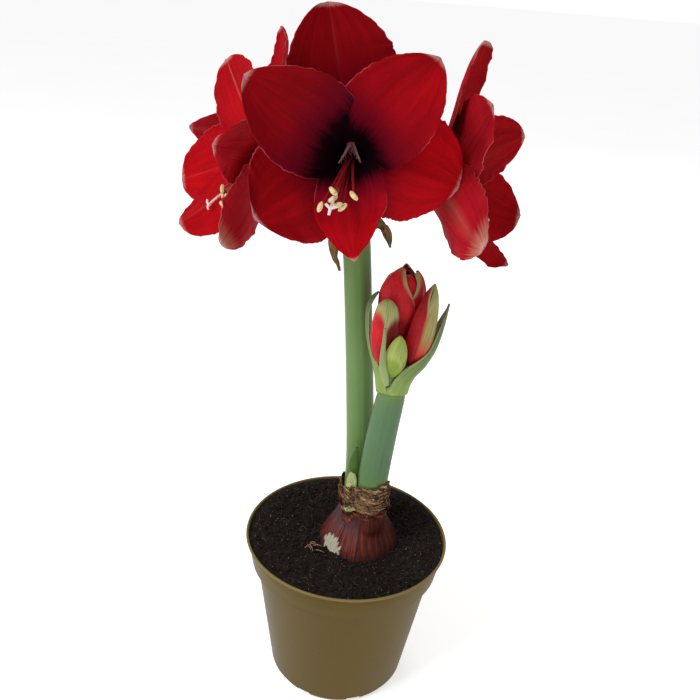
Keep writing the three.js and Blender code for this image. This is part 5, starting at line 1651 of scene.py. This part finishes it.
BUDS = {
    "bud_left": dict(
        base=(13.9, -11.3, 267.2), tip=(13, -14.4, 313.2), half_width=9, half_depth=5.4, profile=OVOID,
        stalk=2, lap=-0.06, tepals=(
            bud_leaf(90), bud_leaf(-152, pinch=0.1, cap=0.8), bud_leaf(-32, pinch=0.1, cap=0.72, dark=1.0),
        ),
    ),
    "bud_centre": dict(
        base=(21.4, 1, 262), tip=(22.8, 2.6, 331), half_width=15, half_depth=11.5, profile=OPENING,
        stalk=4.4, lap=0.05, tepals=(
            bud_leaf(-70, 60, 0.93, 0.6, 0.4, 0.84, cap=1.4),
            bud_leaf(50, 60, 0.94, 0.5, 0.4, 0.84, cap=1.4),
            bud_leaf(170, 60, 0.94, 0.5, 0.4, 0.84, cap=1.4),
            bud_leaf(70, 62, 1.01, 0.45, 0.5, cap=0.86),
            bud_leaf(-10, 72, 0.965, 0.95, 0.5, cap=0.96),
            bud_leaf(-128, 74, 0.99, 0.55, 0.5, cap=1.0),
        ),
    ),
    "bud_right": dict(
        base=(33.4, -10, 266), tip=(42, -9.6, 324.4), half_width=8.3, half_depth=6.6, profile=POINTED,
        stalk=2.5, lap=0.06, tepals=(
            bud_leaf(80), bud_leaf(-42, cap=0.74, band=0.9), bud_leaf(-160, cap=0.96, dark=0.5),
        ),
    ),
    "bud_green": dict(
        base=(20.4, -14.6, 260.2), tip=(22.8, -25.2, 293), half_width=6.8, half_depth=4.6, profile=POINTED,
        stalk=2, lap=0.05, tepals=(
            bud_leaf(125), bud_leaf(5, pinch=0.1, cap=0.5), bud_leaf(-115, pinch=0.1, cap=0.5),
        ),
    ),
}
BUD_ROWS, BUD_COLUMNS = 56, 28
STALK_STEPS = 10
BUD_FINISH = ("cap", "band", "dark")


def bud_leaf_rows(shape, leaf):
    """A tepal wrapped round a bud; one of its margins lies over its neighbour's."""
    base, tip = Vector(shape["base"]), Vector(shape["tip"])
    axis = (tip - base).normalized()
    length = (tip - base).length
    first, second = across_axes(axis)
    rows = []
    for i in range(BUD_ROWS + 1):
        t = i / BUD_ROWS
        place = t * leaf["reach"]
        dome = math.sqrt(max(1 - max((t - 0.88) / 0.12, 0) ** 2, 0))
        swell = soft_along(shape["profile"], min(place, 1)) * leaf["scale"] * lerp(leaf["close"], 1, dome)
        narrow = 1 - leaf["pinch"] * smooth((t - 0.6) / 0.4)
        spread = math.radians(leaf["half_angle"]) * narrow
        row = []
        for j in range(BUD_COLUMNS + 1):
            u = 2 * j / BUD_COLUMNS - 1
            angle = math.radians(leaf["turn"]) + spread * u + 0.2 * (t - 0.5)
            keel = 0.035 * math.exp(-((u / 0.14) ** 2)) + 0.012 * math.cos(16 * u)
            dent = 0.03 * noise.noise(Vector((u * 1.6, t * 4, leaf["turn"])))
            drop = 0.05 * length * leaf["pinch"] * abs(u) ** 2.2 * smooth((t - 0.5) / 0.5)
            radius = swell * (1 + shape["lap"] * u * (1 - 0.4 * t) + keel + dent)
            row.append(base + axis * (place * length - drop)
                       + first * (radius * shape["half_width"] * math.cos(angle))
                       + second * (radius * shape["half_depth"] * math.sin(angle)))
        rows.append(row)
    return rows


def bud_material(name, bright, deep, pale, green):
    """Bud skin: coloured flesh with pale margins and veins, a green cap and, on some, a band."""
    material, tree, shader = new_material(name, 0.5, Specular_IOR_Level=0.2, Subsurface_Weight=0.06)
    across, length, outside = (value_at(tree, name) for name in ("across", "along", "outside"))
    cap, band, dark = (value_at(tree, name) for name in BUD_FINISH)
    aside = maths(tree, "ABSOLUTE", across)
    lines = long_veins(tree, 16.0, 1.4, 0.14)
    cloud = mottle(tree, 80.0)
    speckle = mottle(tree, 520.0, edge=0.14)
    flesh = blend(tree, cloud.mask, bright, deep)
    flesh = blend(tree, dark, flesh, [0.3 * part for part in deep])
    flesh = tint(tree, flesh, deep, lines.mask, 0.25)
    flesh = tint(tree, flesh, pale, speckle.mask, 0.025)
    veined = blend(tree, lines.mask, green, pale)
    stripe = ease(tree, times_plus(tree, lines.height, 0.3, aside), 1.0, 0.6)
    stripe = times(tree, stripe, ease(tree, length, 0.1, 0.5))
    flesh = tint(tree, flesh, veined, stripe, band)
    above = maths(tree, "SUBTRACT", times_plus(tree, lines.height, 0.16, length), cap)
    above = times_plus(tree, maths(tree, "POWER", aside, 3.0), 0.3, above)
    flesh = blend(tree, ease(tree, above, 0.02, 0.2), flesh, pale)
    flesh = tint(tree, flesh, veined, ease(tree, above, 0.1, 0.28), 0.95)
    margin = times(tree, ease(tree, aside, 0.93, 0.99), ease(tree, length, 0.3, 0.7))
    flesh = tint(tree, flesh, pale, margin, 0.5)
    lining = blend(tree, cloud.mask, (0.12, 0.004, 0.02), (0.25, 0.03, 0.05))
    rough = times_plus(tree, cloud.height, 0.25, 0.36)
    dress(tree, shader, blend(tree, outside, lining, flesh), rough)
    bump(tree, shader, times_plus(tree, speckle.height, 0.3, lines.height), 0.4, 0.8)
    return material


def bud_stalk(shape):
    """A short stalk from the cluster's foot up into the bud."""
    end = Vector(shape["base"])
    direction = (Vector(shape["tip"]) - end).normalized()
    end = end + direction * 1.5
    start = CLUSTER_BASE.lerp(Vector((end.x, end.y, CLUSTER_BASE.z)), 0.25)
    bend = end - direction * 8
    shares = [i / STALK_STEPS for i in range(STALK_STEPS + 1)]
    return [(bezier(start, bend, end, share), shape["stalk"] * (1.2 - 0.2 * share)) for share in shares]


def bud_solid(shape):
    solids = []
    for leaf in shape["tepals"]:
        points, faces, values = blade_solid(bud_leaf_rows(shape, leaf), 0.7, 0.5)
        values.update({key: [leaf[key]] * len(points) for key in BUD_FINISH})
        solids.append((points, faces, values))
    return join_solids(solids)


def make_buds():
    grey_green = stem_material(
        "glaucous_stem", (0.095, 0.19, 0.08), (0.1, 0.18, 0.088), (0.035, 0.095, 0.024),
        (0.125, 0.225, 0.112), 0.5,
    )
    settle(grow("short_stem", stem_solid(SHORT_SCAPE), grey_green), "stem_glaucous", "scape_short")
    paths = [bud_stalk(shape) for shape in BUDS.values()]
    values = {"along": [0.9] * sum(map(len, paths)), "across": [0.5] * sum(map(len, paths))}
    stalks = strands("bud_stalks", paths, grey_green, 20, values)
    settle(stalks, "stem_glaucous", "scape_short")

    red_skin = bud_material(
        "bud_skin_red", (0.7, 0.003, 0.015), (0.46, 0.003, 0.013), (0.44, 0.4, 0.17), (0.24, 0.28, 0.06),
    )
    green_skin = bud_material(
        "bud_skin_green", (0.3, 0.38, 0.05), (0.22, 0.3, 0.04), (0.42, 0.47, 0.12), (0.2, 0.3, 0.05),
    )
    for name, shape in BUDS.items():
        skin, slot = (green_skin, "bud_green") if name == "bud_green" else (red_skin, "bud_red")
        settle(grow(f"{name}_tepals", bud_solid(shape), skin), slot, name)


make_buds()


# ---------------------------------------------------------------- spathe valves
# Two green boat-shaped valves and a narrow bracteole that wrapped the buds. They split along
# pale margins as the buds swelled and are still joined to the stem at its collar.
VALVES = {
    "spathe_right": dict(
        spine=((32.6, -5.8, 244), (33.8, -5.6, 250), (36.4, -5.2, 256.5), (43.2, -4.6, 265.5),
               (48.4, -3.6, 277), (51.8, -2.8, 293), (53.6, -2.5, 309)),
        half_widths=(19.2, 19.6, 19.4, 17.4, 12, 9.4, 0.6), cup=(104, 100, 86, 72, 50, 42, 34),
        face=(-1, 0.05, 0.3),
    ),
    "spathe_left": dict(
        spine=((11.6, -5.8, 244), (9.7, -5.4, 254.5), (8.2, -4.6, 261), (4.8, -2.8, 269.5),
               (1.8, -1.2, 280), (0.4, -0.4, 291), (0.2, -0.2, 300), (2.6, -0.4, 308), (7, -0.8, 313)),
        half_widths=(12, 12.6, 9.8, 5, 5.2, 5.8, 5.4, 4.4, 0.6), cup=(66, 60, 54, 42, 38, 38, 36, 34, 34),
        face=(1, 0.05, 0.3),
    ),
    "bracteole": dict(
        spine=((17.4, -19, 254), (13.4, -22.8, 271), (12.7, -24, 297)),
        half_widths=(1.6, 2.6, 2.3, 1.4, 0.6),
        cup=(20, 20), face=(0, 1, 0),
    ),
}
COLLAR = (
    ((22.4, -6), 9.2, 245), ((22.4, -6), 9.9, 245.5), ((22.4, -6), 10.3, 246.6), ((22.4, -6), 10.2, 248.4),
    ((22.5, -6), 9.8, 250), ((22.5, -6.1), 8.6, 251),
)
COLLAR_SIDES = 72
COLLAR_FINISH = {"along": 0.0, "outside": 1.0, "kin": 0.4}


def collar_solid():
    """The thick ring at which both valves join the stem."""
    rings = [ring(centre, radius, z, COLLAR_SIDES) for centre, radius, z in COLLAR]
    points, faces = loft(rings, (*COLLAR[0][0], COLLAR[0][2]), (*COLLAR[-1][0], COLLAR[-1][2]))
    around = [2 * abs(2 * k / COLLAR_SIDES - 1) for k in range(COLLAR_SIDES)]
    values = {"across": around * len(rings) + [0, 0]}
    values.update({key: [number] * len(points) for key, number in COLLAR_FINISH.items()})
    return points, faces, values


def make_valves():
    valve_green = plain_leaf_material(
        "spathe_valve", (0.22, 0.32, 0.05), (0.045, 0.1, 0.025), (0.32, 0.4, 0.19),
        inside=(0.04, 0.085, 0.02), veins=20.0,
    )
    bracteole_green = plain_leaf_material(
        "bracteole_skin", (0.3, 0.38, 0.13), (0.2, 0.27, 0.09), (0.46, 0.5, 0.28), veins=12.0,
    )
    for name, shape in VALVES.items():
        skin = bracteole_green if name == "bracteole" else valve_green
        settle(grow(f"{name}_valve", blade(**shape, rumple=0.4), skin), "spathe_green", name)
    settle(grow("valve_collar", collar_solid(), valve_green), "spathe_green", "scape_short")


make_valves()
